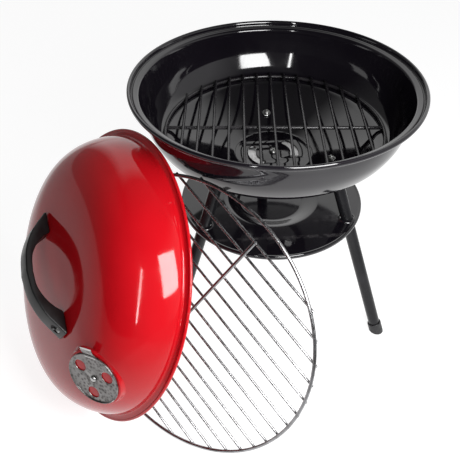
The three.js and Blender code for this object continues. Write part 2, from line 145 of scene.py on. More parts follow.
def flowing(points: Path, steps: int = 6) -> Outline:
    """Runs a smooth curve through the points of an outline.

    Args:
        points: The points the curve passes through.
        steps: How many stretches each span is divided into.

    Returns:
        The finer outline, with the same first and last point.
    """
    knots = [Vector(p) for p in points]
    padded = [knots[0] * 2 - knots[1], *knots, knots[-1] * 2 - knots[-2]]
    fine: Outline = []
    for i in range(1, len(padded) - 2):
        p = padded[i - 1:i + 3]
        t = [0.0]
        for a, b in zip(p, p[1:]):
            t.append(t[-1] + max((b - a).length, TINY) ** 0.5)
        for s in range(steps):
            u = t[1] + (t[2] - t[1]) * s / steps
            a1 = p[0].lerp(p[1], (u - t[0]) / (t[1] - t[0]))
            a2 = p[1].lerp(p[2], (u - t[1]) / (t[2] - t[1]))
            a3 = p[2].lerp(p[3], (u - t[2]) / (t[3] - t[2]))
            b1 = a1.lerp(a2, (u - t[0]) / (t[2] - t[0]))
            b2 = a2.lerp(a3, (u - t[1]) / (t[3] - t[1]))
            fine.append(tuple(b1.lerp(b2, (u - t[1]) / (t[2] - t[1]))))
    fine.append(tuple(knots[-1]))
    return fine


def offset(outline: Path, distance: float) -> Outline:
    """Moves an outline sideways, to the right of the way it runs.

    Args:
        outline: Points of radius and height.
        distance: How far, in millimetres.

    Returns:
        The moved outline, with no radius below zero.
    """
    moved: Outline = []
    last = len(outline) - 1
    for i, (r, z) in enumerate(outline):
        before, after = outline[max(i - 1, 0)], outline[min(i + 1, last)]
        run = Vector((after[0] - before[0], after[1] - before[1])).normalized()
        moved.append((max(r + run.y * distance, 0.0), z - run.x * distance))
    return moved


def shrunk(outline: Path, distance: float) -> Outline:
    """Moves every side of a closed outline inward.

    Args:
        outline: The corners, anticlockwise.
        distance: How far, in millimetres.

    Returns:
        The smaller outline.
    """
    count = len(outline)
    moved: Outline = []
    for i in range(count):
        p, q, r = (Vector(outline[(i + k) % count]) for k in (-1, 0, 1))
        a, b = (q - p).normalized(), (r - q).normalized()
        inward = Vector((-a.y - b.y, a.x + b.x))
        if inward.length < TINY:
            inward = Vector((-a.y, a.x))
        inward.normalize()
        reach = distance / max(inward.dot(Vector((-a.y, a.x))), 0.5)
        moved.append(tuple(q + inward * reach))
    return moved


def circle(radius: float, sides: int, z: float = 0.0, x: float = 0.0, y: float = 0.0) -> list[Vector]:
    """The points of a level circle about (x, y), anticlockwise from +x."""
    turns = (2 * math.pi * i / sides for i in range(sides))
    return [Vector((x + radius * math.cos(a), y + radius * math.sin(a), z)) for a in turns]


def arc_slot(radius: float, half_width: float, middle: float, span: float, z: float) -> list[Vector]:
    """The outline of a slot that follows an arc, with round ends.

    Args:
        radius: The arc's radius.
        half_width: Half the slot's width.
        middle: The direction of the slot's middle, in degrees.
        span: The angle between the centres of its round ends, in degrees.
        z: Its height.

    Returns:
        The points of the closed outline.
    """
    steps, end_steps = 24, 12
    points = []
    for side, turned in ((1, 0.0), (-1, math.pi)):
        start, end = (math.radians(middle + span / 2 * side * way) for way in (-1, 1))
        points += [(radius + side * half_width, start + (end - start) * i / steps, 0.0, 0.0)
                   for i in range(steps + 1)]
        points += [(radius, end, half_width, end + turned + math.pi * i / end_steps)
                   for i in range(1, end_steps)]
    return [Vector((r * math.cos(a) + h * math.cos(b), r * math.sin(a) + h * math.sin(b), z))
            for r, a, h, b in points]


class Shape:
    """A mesh in millimetres, made of rings of points skinned with faces."""

    def __init__(self) -> None:
        """Starts an empty shape."""
        self.points: list[Vector] = []
        self.faces: list[tuple[int, ...]] = []

    def ring(self, points: Iterable[Vector], place: Optional[Matrix] = None) -> Ring:
        """Adds the points of a ring.

        Args:
            points: The points in order.
            place: A frame to put them in.

        Returns:
            The indices of the new points.
        """
        start = len(self.points)
        self.points.extend(place @ Vector(p) if place else Vector(p) for p in points)
        return list(range(start, len(self.points)))

    def skin(self, a: Ring, b: Ring) -> None:
        """Joins two closed rings of the same length, or a ring and a single point, with faces.

        Args:
            a: The first ring.
            b: The second ring.
        """
        count = max(len(a), len(b))
        for i in range(count):
            j = (i + 1) % count
            corners = [a[i % len(a)], a[j % len(a)], b[j % len(b)], b[i % len(b)]]
            kept = list(dict.fromkeys(corners))
            if len(kept) > 2:
                self.faces.append(tuple(kept))

    def skins(self, rings: Sequence[Ring], closed: bool = False) -> None:
        """Joins each ring to the next.

        Args:
            rings: The rings in order.
            closed: Whether the last is joined to the first.
        """
        for a, b in zip(rings, rings[1:]):
            self.skin(a, b)
        if closed:
            self.skin(rings[-1], rings[0])

    def lathe(self, outline: Path, sides: int,
              place: Optional[Matrix] = None, closed: bool = False) -> list[Ring]:
        """Turns an outline about the z axis.

        Args:
            outline: Points of radius and height. A radius of zero becomes a single point.
            sides: How many sides the turned shape has.
            place: A frame to put it in.
            closed: Whether the outline's last point joins its first.

        Returns:
            The ring made at each point of the outline.
        """
        rings = []
        for r, z in outline:
            points = [Vector((0, 0, z))] if r < TINY else circle(r, sides, z)
            rings.append(self.ring(points, place))
        self.skins(rings, closed)
        return rings

    def flat(self, edge: Ring, holes: Sequence[Ring] = ()) -> None:
        """Fills a flat ring with faces, leaving holes open.

        Args:
            edge: The outer ring.
            holes: The rings of the holes.
        """
        rings = [edge, *holes]
        indices = [i for ring in rings for i in ring]
        loops = [[self.points[i] for i in ring] for ring in rings]
        for triangle in tessellate_polygon(loops):
            self.faces.append(tuple(indices[i] for i in triangle))

    def solid(self, rings: Sequence[Ring], first: Sequence[Ring] = (), last: Sequence[Ring] = ()) -> None:
        """Joins each ring to the next and fills the two end rings.

        Args:
            rings: The rings in order.
            first: Holes left open in the first ring.
            last: Holes left open in the last ring.
        """
        self.skins(rings)
        self.flat(rings[0], first)
        self.flat(rings[-1], last)

    def slab(self, outline: Path, width: float, bevel: float,
             place: Matrix, steps: int = 3) -> None:
        """Adds a bar of one section all along y, with rounded edges at its two ends.

        Args:
            outline: The section's closed outline, as x and z, anticlockwise seen from -y.
            width: Its full length along y.
            bevel: The radius of the rounded edges.
            place: The frame to put it in.
            steps: How many faces round each edge.
        """
        rings = []
        for side in (-1, 1):
            for i in range(steps + 1):
                a = math.pi / 2 * (i if side < 0 else steps - i) / steps
                inset = bevel * (1 - math.sin(a))
                y = side * (width / 2 - bevel + bevel * math.cos(a))
                rings.append(self.ring([Vector((x, y, z)) for x, z in shrunk(outline, inset)], place))
        self.solid(rings)

    def rod(self, start: Vector, end: Vector, radius: float, sides: int = 14) -> None:
        """Adds a straight round rod with softened ends.

        Args:
            start: The middle of its first end.
            end: The middle of its other end.
            radius: Its radius.
            sides: How many sides it has.
        """
        along = end - start
        turn = Vector((0, 0, 1)).rotation_difference(along).to_matrix().to_4x4()
        place = Matrix.Translation(start) @ turn
        soft = radius * 0.35
        length, stretch = along.length, 30
        outline = [(0, 0), (radius - soft, 0), (radius - soft * 0.3, soft * 0.3), (radius, soft)]
        stretches = max(int(length / stretch), 1)
        middle = [(radius, soft + (length - 2 * soft) * i / stretches) for i in range(1, stretches)]
        outline += middle + [(r, length - z) for r, z in reversed(outline)]
        self.lathe(outline, sides, place)

    def hoop(self, radius: float, wire: float, sides: int = 128, wire_sides: int = 14) -> None:
        """Adds a level ring of round wire about the origin.

        Args:
            radius: The ring's radius to the middle of the wire.
            wire: The wire's radius.
            sides: How many stretches the ring has.
            wire_sides: How many sides the wire has.
        """
        outline = [(radius + wire * math.cos(a), wire * math.sin(a))
                   for a in (2 * math.pi * i / wire_sides for i in range(wire_sides))]
        self.lathe(outline, sides, closed=True)

    def bead(self, at: Vector, size: Triple, sides: int = 10) -> None:
        """Adds a small rounded blob, such as a spot weld.

        Args:
            at: Its middle.
            size: Its three half sizes.
            sides: How many sides it has.
        """
        place = Matrix.Translation(at) @ Matrix.Diagonal((*size, 1))
        steps = 6
        outline = [(math.sin(math.pi * i / steps), -math.cos(math.pi * i / steps)) for i in range(steps + 1)]
        self.lathe([(0.0 if r < TINY else r, z) for r, z in outline], sides, place)

    def mesh(self, name: str, place: Matrix, sharp: float = SHARP) -> bpy.types.Mesh:
        """Makes the Blender mesh with outward faces, smooth but for its sharp edges.

        Args:
            name: The mesh's name.
            place: The frame that takes the shape's millimetres to the row frame's metres.
            sharp: The angle in degrees from which an edge stays sharp.

        Returns:
            The mesh.
        """
        mesh = bpy.data.meshes.new(name)
        mesh.from_pydata([tuple(place @ p) for p in self.points], [], self.faces)
        work = bmesh.new()
        work.from_mesh(mesh)
        bmesh.ops.remove_doubles(work, verts=work.verts, dist=MERGE)
        bmesh.ops.dissolve_degenerate(work, edges=work.edges, dist=1e-7)
        bmesh.ops.recalc_face_normals(work, faces=work.faces)
        work.to_mesh(mesh)
        work.free()
        mesh.shade_smooth()
        mesh.set_sharp_from_angle(angle=math.radians(sharp))
        return mesh


def worked(made: bpy.types.Object, sharp: float) -> None:
    """Fixes an object's modifiers into its mesh.

    Args:
        made: The object.
        sharp: The angle in degrees from which an edge stays sharp.
    """
    graph = bpy.context.evaluated_depsgraph_get()
    mesh = bpy.data.meshes.new_from_object(made.evaluated_get(graph))
    made.modifiers.clear()
    made.data = mesh
    mesh.shade_smooth()
    mesh.set_sharp_from_angle(angle=math.radians(sharp))


def carve(made: bpy.types.Object, tool: Shape, place: Matrix, sharp: float) -> None:
    """Cuts one shape out of a piece.

    Args:
        made: The piece.
        tool: The shape of what is cut away.
        place: Its frame in millimetres.
        sharp: The angle in degrees from which an edge stays sharp.
    """
    cutter = bpy.data.objects.new("cutter", tool.mesh("cutter", to_metres(place)))
    bpy.context.scene.collection.objects.link(cutter)
    cut = made.modifiers.new("cut", "BOOLEAN")
    cut.operation = "DIFFERENCE"
    cut.solver = "FAST"
    cut.object = cutter
    worked(made, sharp)
    bpy.data.objects.remove(cutter)


# ---------------------------------------------------------------- finishes


class Wiring:
    """A node tree, with short ways to add and join nodes."""

    def __init__(self, tree: bpy.types.NodeTree) -> None:
        """Takes a material's or the room light's tree and empties it."""
        self.tree = tree
        self.tree.nodes.clear()

    def add(self, kind: str, **settings: object) -> bpy.types.Node:
        """Adds a node.

        Args:
            kind: The node's type.
            **settings: Properties by name.

        Returns:
            The node.
        """
        node = self.tree.nodes.new(kind)
        for key, value in settings.items():
            setattr(node, key, value)
        return node

    def join(self, source: Socket, target: Socket) -> None:
        """Links an output to an input."""
        self.tree.links.new(source, target)

    def fit(self, source: Socket, low: float, high: float,
            to_low: float, to_high: float) -> Socket:
        """Maps a range of values to another and clamps it.

        Args:
            source: The value.
            low: The value that becomes to_low.
            high: The value that becomes to_high.
            to_low: The new low end.
            to_high: The new high end.

        Returns:
            The mapped value.
        """
        node = self.add("ShaderNodeMapRange")
        for name, value in (("From Min", low), ("From Max", high), ("To Min", to_low), ("To Max", to_high)):
            node.inputs[name].default_value = value
        self.join(source, node.inputs["Value"])
        return node.outputs["Result"]

    def maths(self, kind: str, a: Socket, b: object) -> Socket:
        """Adds a maths node.

        Args:
            kind: Its operation.
            a: The first value.
            b: The second value, a number or a socket.

        Returns:
            The result.
        """
        node = self.add("ShaderNodeMath", operation=kind)
        self.join(a, node.inputs[0])
        if isinstance(b, Socket):
            self.join(b, node.inputs[1])
        else:
            node.inputs[1].default_value = b
        return node.outputs[0]


class Nodes(Wiring):
    """A material's node tree."""

    def __init__(self, name: str) -> None:
        """Starts a material with its surface shader.

        Args:
            name: The material's name.
        """
        self.material = bpy.data.materials.new(name)
        self.material.use_nodes = True
        super().__init__(self.material.node_tree)
        self.output = self.tree.nodes.new("ShaderNodeOutputMaterial")
        self.shader = self.add("ShaderNodeBsdfPrincipled")
        self.tree.links.new(self.shader.outputs["BSDF"], self.output.inputs["Surface"])
        self.place = self.add("ShaderNodeTexCoord").outputs["Object"]

    def set(self, **values: object) -> None:
        """Sets plain values on the surface shader, with _ for a space in a socket's name."""
        for key, value in values.items():
            self.shader.inputs[key.replace("_", " ")].default_value = value

    def noise(self, scale: float, detail: float = 3.0, roughness: float = 0.5,
              stretch: Optional[Triple] = None) -> Socket:
        """Adds a noise pattern in the piece's own space.

        Args:
            scale: How many features there are to the metre.
            detail: How many finer layers it has.
            roughness: How strong they are.
            stretch: How much it is stretched along each axis.

        Returns:
            The noise, from 0 to 1.
        """
        node = self.add("ShaderNodeTexNoise")
        node.inputs["Scale"].default_value = scale
        node.inputs["Detail"].default_value = detail
        node.inputs["Roughness"].default_value = roughness
        place = self.place
        if stretch:
            mapping = self.add("ShaderNodeMapping")
            mapping.inputs["Scale"].default_value = stretch
            self.join(self.place, mapping.inputs["Vector"])
            place = mapping.outputs["Vector"]
        self.join(place, node.inputs["Vector"])
        return node.outputs["Fac"]

    def cells(self, scale: float) -> Socket:
        """Adds a pattern of scattered cells and returns the distance to each cell's middle."""
        node = self.add("ShaderNodeTexVoronoi")
        node.inputs["Scale"].default_value = scale
        self.join(self.place, node.inputs["Vector"])
        return node.outputs["Distance"]

    def blend(self, share: Socket, a: object, b: object) -> Socket:
        """Mixes two colours.

        Args:
            share: How much of the second colour there is.
            a: The first colour, or a socket with it.
            b: The second colour, or a socket with it.

        Returns:
            The mixed colour.
        """
        node = self.add("ShaderNodeMix", data_type="RGBA")
        self.join(share, node.inputs[0])
        for value, socket in ((a, node.inputs[6]), (b, node.inputs[7])):
            if isinstance(value, Socket):
                self.join(value, socket)
            else:
                socket.default_value = (*value, 1.0)
        return node.outputs[2]

    def edges(self, low: float, high: float) -> Socket:
        """How much a point lies on a standing edge, from the surface's pointiness."""
        point = self.add("ShaderNodeNewGeometry").outputs["Pointiness"]
        return self.fit(point, low, high, 0.0, 1.0)

    def bump(self, height: Socket, strength: float, distance: float,
             below: Optional[Socket] = None) -> Socket:
        """Adds a bump.

        Args:
            height: The height pattern.
            strength: How strong it is.
            distance: How high it is, in metres.
            below: An earlier bump's normal.

        Returns:
            The bumped normal.
        """
        node = self.add("ShaderNodeBump")
        node.inputs["Strength"].default_value = strength
        node.inputs["Distance"].default_value = distance
        self.join(height, node.inputs["Height"])
        if below:
            self.join(below, node.inputs["Normal"])
        return node.outputs["Normal"]

    def finish(self, colour: object, roughness: Socket,
               normal: Socket) -> bpy.types.Material:
        """Joins the finished patterns to the surface shader.

        Args:
            colour: The colour socket.
            roughness: The roughness socket.
            normal: The normal socket.

        Returns:
            The material.
        """
        self.join(colour, self.shader.inputs["Base Color"])
        self.join(roughness, self.shader.inputs["Roughness"])
        self.join(normal, self.shader.inputs["Normal"])
        return self.material


@dataclass(frozen=True)
class Finish:
    """What every finish of the grill has.

    Attributes:
        name: The material's name.
        colour: Its main colour.
        other: Its colour where it is thicker, dulled, tarnished or rubbed.
    """

    name: str
    colour: Triple
    other: Triple


@dataclass(frozen=True)
class Enamel(Finish):
    """Glassy vitreous enamel fired on pressed steel.

    Attributes:
        edge: Its colour where the coat thins over an edge.
        gloss: Its lowest roughness.
        smudge: How much rougher it is where it has been handled.
        ripple: The strength of the slow ripple of the fired coat.
        shine: How strongly the glaze reflects.
        coat: How much clear flux lies over it.
    """

    edge: Triple
    gloss: float = 0.05
    smudge: float = 0.09
    ripple: float = 0.10
    shine: float = 0.5
    coat: float = 0.2

    def material(self) -> bpy.types.Material:
        """Builds the material."""
        n = Nodes(self.name)
        tint = n.blend(n.fit(n.noise(9.0, 4.0), 0.35, 0.68, 0.0, 1.0), self.colour, self.other)
        worn = n.maths("MULTIPLY", n.edges(0.53, 0.6), n.fit(n.noise(120.0, 4.0), 0.4, 0.62, 0.0, 1.0))
        colour = n.blend(worn, tint, self.edge)
        specks = n.fit(n.cells(420.0), 0.02, 0.10, 1.0, 0.0)
        handled = n.fit(n.noise(14.0, 5.0, 0.62), 0.48, 0.74, 0.0, self.smudge)
        wiped = n.fit(n.noise(70.0, 3.0, 0.6, (1.0, 1.0, 0.25)), 0.4, 0.7, 0.0, self.smudge * 0.35)
        roughness = n.maths("ADD", n.maths("ADD", handled, wiped), self.gloss)
        roughness = n.maths("ADD", roughness, n.maths("MULTIPLY", worn, 0.2))
        slow = n.bump(n.noise(28.0, 1.0), self.ripple, 0.0006)
        fine = n.bump(n.noise(520.0, 2.0), 0.05, 0.0001, slow)
        normal = n.bump(specks, 0.08, 0.00005, fine)
        n.set(IOR=1.5, Specular_IOR_Level=self.shine, Coat_Weight=self.coat, Coat_Roughness=0.03)
        return n.finish(colour, roughness, normal)


@dataclass(frozen=True)
class TubeCoat(Finish):
    """Half-gloss black coating on steel tube, with a faint grain along it.

    Attributes:
        gloss: Its lowest roughness.
    """

    gloss: float = 0.17

    def material(self) -> bpy.types.Material:
        """Builds the material."""
        n = Nodes(self.name)
        tint = n.blend(n.fit(n.noise(22.0, 5.0, 0.6), 0.4, 0.7, 0.0, 1.0), self.colour, self.other)
        worn = n.maths("MULTIPLY", n.edges(0.55, 0.66), n.fit(n.noise(300.0, 4.0), 0.45, 0.6, 0.0, 1.0))
        colour = n.blend(worn, tint, (0.12, 0.12, 0.12))
        grain = n.noise(160.0, 3.0, 0.55, (1.0, 1.0, 0.06))
        roughness = n.fit(grain, 0.3, 0.7, self.gloss, self.gloss + 0.16)
        normal = n.bump(n.noise(900.0, 3.0), 0.10, 0.0001, n.bump(grain, 0.05, 0.0002))
        n.set(IOR=1.45, Specular_IOR_Level=0.3)
        return n.finish(colour, roughness, normal)


@dataclass(frozen=True)
class MouldedPlastic(Finish):
    """Black moulded plastic with a fine spark-eroded grain.

    Attributes:
        gloss: Its lowest roughness.
        grain: The strength of the grain.
    """

    gloss: float
    grain: float

    def material(self) -> bpy.types.Material:
        """Builds the material."""
        n = Nodes(self.name)
        tint = n.blend(n.fit(n.noise(35.0, 5.0, 0.6), 0.38, 0.7, 0.0, 1.0), self.colour, self.other)
        worn = n.maths("MULTIPLY", n.edges(0.53, 0.62), n.fit(n.noise(240.0, 4.0), 0.4, 0.62, 0.0, 0.8))
        colour = n.blend(worn, tint, tuple(c * 4 for c in self.other))
        roughness = n.fit(n.noise(60.0, 4.0, 0.6), 0.3, 0.75, self.gloss, self.gloss + 0.2)
        fine = n.bump(n.noise(1500.0, 2.0), self.grain, 0.00012)
        normal = n.bump(n.cells(900.0), self.grain * 0.5, 0.0001, fine)
        n.set(IOR=1.49)
        return n.finish(colour, roughness, normal)


@dataclass(frozen=True)
class PlatedSteel(Finish):
    """Zinc-plated or satin steel with rolling marks, tarnish and bright edges.

    Attributes:
        bright: Its colour on rubbed edges.
        gloss: Its lowest roughness.
        spread: How much the roughness varies.
        marks: The stretch of the rolling marks along each axis.
    """

    bright: Triple
    gloss: float
    spread: float
    marks: Triple = (1.0, 0.08, 1.0)

    def material(self) -> bpy.types.Material:
        """Builds the material."""
        n = Nodes(self.name)
        clouds = n.fit(n.noise(75.0, 5.0, 0.62), 0.38, 0.66, 0.0, 1.0)
        tint = n.blend(clouds, self.colour, self.other)
        spangle = n.fit(n.cells(260.0), 0.1, 0.6, 0.0, 0.25)
        tint = n.blend(spangle, tint, self.bright)
        colour = n.blend(n.edges(0.52, 0.6), tint, self.bright)
        rolled = n.noise(900.0, 3.0, 0.6, self.marks)
        roughness = n.fit(rolled, 0.25, 0.75, self.gloss, self.gloss + self.spread)
        normal = n.bump(n.noise(650.0, 3.0), 0.08, 0.0001, n.bump(rolled, 0.12, 0.0001))
        n.set(Metallic=1.0)
        return n.finish(colour, roughness, normal)


@dataclass(frozen=True)
class DrawnWire(Finish):
    """Round drawn wire, chromed or enamelled, with draw lines and dulled weld points.

    Attributes:
        metallic: 1 for bare or chromed metal and 0 for enamel.
        gloss: Its lowest roughness.
        spread: How much the roughness varies.
    """

    metallic: float
    gloss: float
    spread: float

    def material(self) -> bpy.types.Material:
        """Builds the material."""
        n = Nodes(self.name)
        stains = n.fit(n.noise(55.0, 5.0, 0.62), 0.42, 0.68, 0.0, 1.0)
        tint = n.blend(stains, self.colour, self.other)
        spots = n.fit(n.cells(190.0), 0.03, 0.16, 0.7, 0.0)
        colour = n.blend(spots, tint, self.other)
        drawn = n.noise(260.0, 4.0, 0.6)
        roughness = n.fit(drawn, 0.3, 0.72, self.gloss, self.gloss + self.spread)
        normal = n.bump(drawn, 0.10, 0.00008)
        n.set(Metallic=self.metallic, IOR=1.5)
        return n.finish(colour, roughness, normal)


@dataclass(frozen=True)
class StudioPaper(Finish):
    """The plain pale paper that the grill stands on.

    Attributes:
        glow: How strongly it is lit from below, like a light table.
        sides: For each side of the lit part, the direction across it as x and y, and how far
            along that direction the light begins to rise and is full, in metres.
        dim: The share of the light that is left beyond a side.
    """

    glow: float = 0.82
    sides: tuple[tuple[float, float, float, float], ...] = (
        (1.0, 0.2, -0.66, -0.465), (-1.0, 0.37, -0.80, -0.39), (0.0, 1.0, -0.60, -0.31))
    dim: float = 0.35

    def material(self) -> bpy.types.Material:
        """Builds the material."""
        n = Nodes(self.name)
        colour = n.blend(n.noise(3.0, 4.0), self.colour, self.other)
        roughness = n.fit(n.noise(5.0, 3.0), 0.3, 0.7, 0.8, 0.9)
        normal = n.bump(n.noise(700.0, 2.0), 0.03, 0.0001)
        n.set(Specular_IOR_Level=0.0, Emission_Color=(1.0, 1.0, 1.0, 1.0))
        lit = None
        for x, y, begins, full in self.sides:
            across = n.add("ShaderNodeVectorMath", operation="DOT_PRODUCT")
            n.join(n.place, across.inputs[0])
            across.inputs[1].default_value = (x, y, 0.0)
            share = n.fit(across.outputs["Value"], begins, full, self.dim, 1.0)
            lit = n.maths("MULTIPLY", share, lit or self.glow)
        n.join(lit, n.shader.inputs["Emission Strength"])
        return n.finish(colour, roughness, normal)


class Finishes:
    """The materials of the grill, made once and shared by its pieces."""

    def __init__(self) -> None:
        """Builds every material."""
        paper = StudioPaper("floor_paper", (0.35, 0.35, 0.352), (0.3542, 0.3542, 0.3562))
        self.floor_paper = paper.material()
        finishes = {
            Slot.BLACK_ENAMEL: Enamel("black_enamel", (0.0032, 0.0026, 0.0042), (0.0055, 0.0045, 0.0065),
                                      (0.02, 0.018, 0.02)),
            Slot.RED_ENAMEL: Enamel("red_enamel", (0.44, 0.0045, 0.009), (0.38, 0.0035, 0.007),
                                    (0.30, 0.004, 0.006), gloss=0.06, ripple=0.16, shine=0.36, coat=0.0),
            Slot.LEG_COAT: TubeCoat("leg_coat", (0.006, 0.006, 0.007), (0.013, 0.013, 0.015)),
            Slot.CAP_PLASTIC: MouldedPlastic("cap_plastic", (0.012, 0.012, 0.013), (0.02, 0.02, 0.021),
                                             0.42, 0.25),
            Slot.BLACK_PLASTIC: MouldedPlastic("handle_plastic", (0.0016, 0.0015, 0.0017),
                                               (0.006, 0.0058, 0.0062), 0.26, 0.12),
            Slot.GRATE_WIRE: DrawnWire("grate_wire", (0.010, 0.009, 0.011), (0.024, 0.022, 0.024),
                                       0.0, 0.16, 0.16),
            Slot.CHROME_WIRE: DrawnWire("chrome_wire", (0.36, 0.36, 0.37), (0.2, 0.195, 0.195),
                                        1.0, 0.14, 0.2),
            Slot.DAMPER_STEEL: PlatedSteel("damper_steel", (0.062, 0.053, 0.050), (0.046, 0.040, 0.038),
                                           (0.75, 0.74, 0.73), 0.26, 0.2),
            Slot.ZINC: PlatedSteel("zinc", (0.46, 0.46, 0.45), (0.32, 0.32, 0.31), (0.7, 0.7, 0.7),
                                   0.22, 0.2),
        }
        self.of = {slot: finish.material() for slot, finish in finishes.items()}


# ---------------------------------------------------------------- fasteners


@dataclass(frozen=True)
class Screw:
    """A pan-head screw that points down, its head resting on z = 0, with a cross recess.

    Attributes:
        radius: The head's radius.
        height: The head's height.
        shank: The shank's radius.
        length: The shank's length under the head.
        reach: Half the recess's width.
        pitch: The distance between threads.
        depth: The threads' depth.
    """

    radius: float
    height: float
    shank: float
    length: float
    reach: float
    pitch: float = 0.9
    depth: float = 0.22

    def shape(self) -> Shape:
        """Builds the screw without its recess.

        Returns:
            The shape.
        """
        r, h, shank, length = self.radius, self.height, self.shank, self.length
        point = [(0, -length), (shank * 0.7, -length), (shank, -length + shank * 0.4)]
        threads: Outline = []
        for i in range(int((length - shank - 1.2) / self.pitch)):
            z = -length + shank * 0.6 + i * self.pitch
            threads += [(shank - self.depth, z), (shank, z + self.pitch * 0.5)]
        head = [(shank, -0.4), (shank, 0.0), (r - 0.15, 0.0), (r, 0.15), (r, h * 0.28)]
        crown = flowing([(r, h * 0.28), (r * 0.94, h * 0.6), (r * 0.74, h * 0.86), (r * 0.4, h * 0.985),
                         (0.0, h)], 4)[1:]
        shape = Shape()
        shape.lathe(point + threads + head + crown, 32)
        return shape

    def recess(self) -> Shape:
        """Builds the shape of the cross recess.

        Returns:
            The shape.
        """
        shape, reach, depth, above = Shape(), self.reach, self.height * 0.62, 2.0
        for turn in (0.0, math.pi / 2):
            lift = raised(self.height - depth + above)
            at = Matrix.Rotation(turn, 4, "Z") @ lift
            rings = []
            for z, long, half in ((-above, reach * 0.35, reach * 0.1), (depth - above, reach, reach * 0.17),
                                  (1.0, reach * 1.05, reach * 0.18)):
                rings.append(shape.ring([Vector((sx * long, sy * half, z))
                                         for sx, sy in ((1, 1), (-1, 1), (-1, -1), (1, -1))], at))
            shape.solid(rings)
        return shape


def washer(outer: float, hole: float, low: float, high: float) -> Shape:
    """Builds a round washer with softened edges.

    Args:
        outer: Its outer radius.
        hole: Its hole's radius.
        low: The height of its underside.
        high: The height of its top.

    Returns:
        The shape.
    """
    soft = min((high - low) * 0.3, 0.25)
    below = [(hole, low + soft), (hole + soft, low), (outer - soft, low), (outer, low + soft)]
    shape = Shape()
    shape.lathe(below + [(r, high + low - z) for r, z in reversed(below)], 48, closed=True)
    return shape


def hexagon_nut(corner: float, hole: float, low: float, high: float) -> Shape:
    """Builds a hexagon nut with chamfered corners.

    Args:
        corner: The radius to its corners.
        hole: Its hole's radius.
        low: The height of its underside.
        high: The height of its top.

    Returns:
        The shape.
    """
    sides, soft, near = 48, 0.3, 0.97
    flat = corner * math.cos(math.pi / 6)
    chamfer = (corner - flat) * 0.7
    shape = Shape()

    def hexagon(limit: float, z: float) -> Ring:
        """Adds the hexagon's outline, rounded where it would pass a radius."""
        points = []
        for i in range(sides):
            a = 2 * math.pi * i / sides
            r = min(flat / math.cos(a % (math.pi / 3) - math.pi / 6), limit)
            points.append(polar(r, a, z))
        return shape.ring(points)

    def bore(radius: float, z: float) -> Ring:
        """Adds a round ring of the hole."""
        return shape.ring(circle(radius, sides, z))

    shape.skins([bore(hole, low + soft), bore(hole + soft, low), hexagon(flat * near, low),
                 hexagon(corner, low + chamfer), hexagon(corner, high - chamfer), hexagon(flat * near, high),
                 bore(hole + soft, high), bore(hole, high - soft)], closed=True)
    return shape


# ---------------------------------------------------------------- sub-assemblies


@dataclass
class Assembly:
    """A sub-assembly of the grill, which makes and dresses its named pieces.

    Attributes:
        finishes: The grill's materials.
    """

    finishes: Finishes

    def piece(self, name: str, shape: Shape, place: Matrix, slot: Slot, node: str, body: Body = Body.BASE,
              sharp: float = SHARP, cut: Optional[Shape] = None, sheet: float = 0.0) -> None:
        """Makes a named piece from a shape, dresses it and ties it to the frame.

        Args:
            name: The piece's name.
            shape: Its shape in millimetres.
            place: Its frame in millimetres.
            slot: The record's material slot, which also says its finish.
            node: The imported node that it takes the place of.
            body: The body it rides on.
            sharp: The angle in degrees from which an edge stays sharp.
            cut: A shape in the same frame that is cut away.
            sheet: The thickness given to an open surface, behind it, in millimetres.
        """
        made = bpy.data.objects.new(name, shape.mesh(name, to_metres(place), sharp))
        bpy.context.scene.collection.objects.link(made)
        if sheet:
            thick = made.modifiers.new("sheet", "SOLIDIFY")
            thick.thickness = sheet * MM
            thick.offset = -1.0
            thick.use_even_offset = True
            worked(made, sharp)
        if cut:
            carve(made, cut, place, sharp)
        made.data.materials.clear()
        made.data.materials.append(self.finishes.of[slot])
        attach(made, body.value)
        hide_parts(node)
        log.info("%s: %d faces on %s", name, len(made.data.polygons), body.value)

    def screw(self, name: str, screw: Screw, place: Matrix, node: str, body: Body = Body.BASE) -> None:
        """Makes a screw as a zinc-plated piece."""
        self.piece(name, screw.shape(), place, Slot.ZINC, node, body, cut=screw.recess())

    def nut(self, name: str, shape: Shape, place: Matrix, node: str, body: Body = Body.BASE) -> None:
        """Makes a nut as a zinc-plated piece with crisp corners."""
        self.piece(name, shape, place, Slot.ZINC, node, body, sharp=20.0)


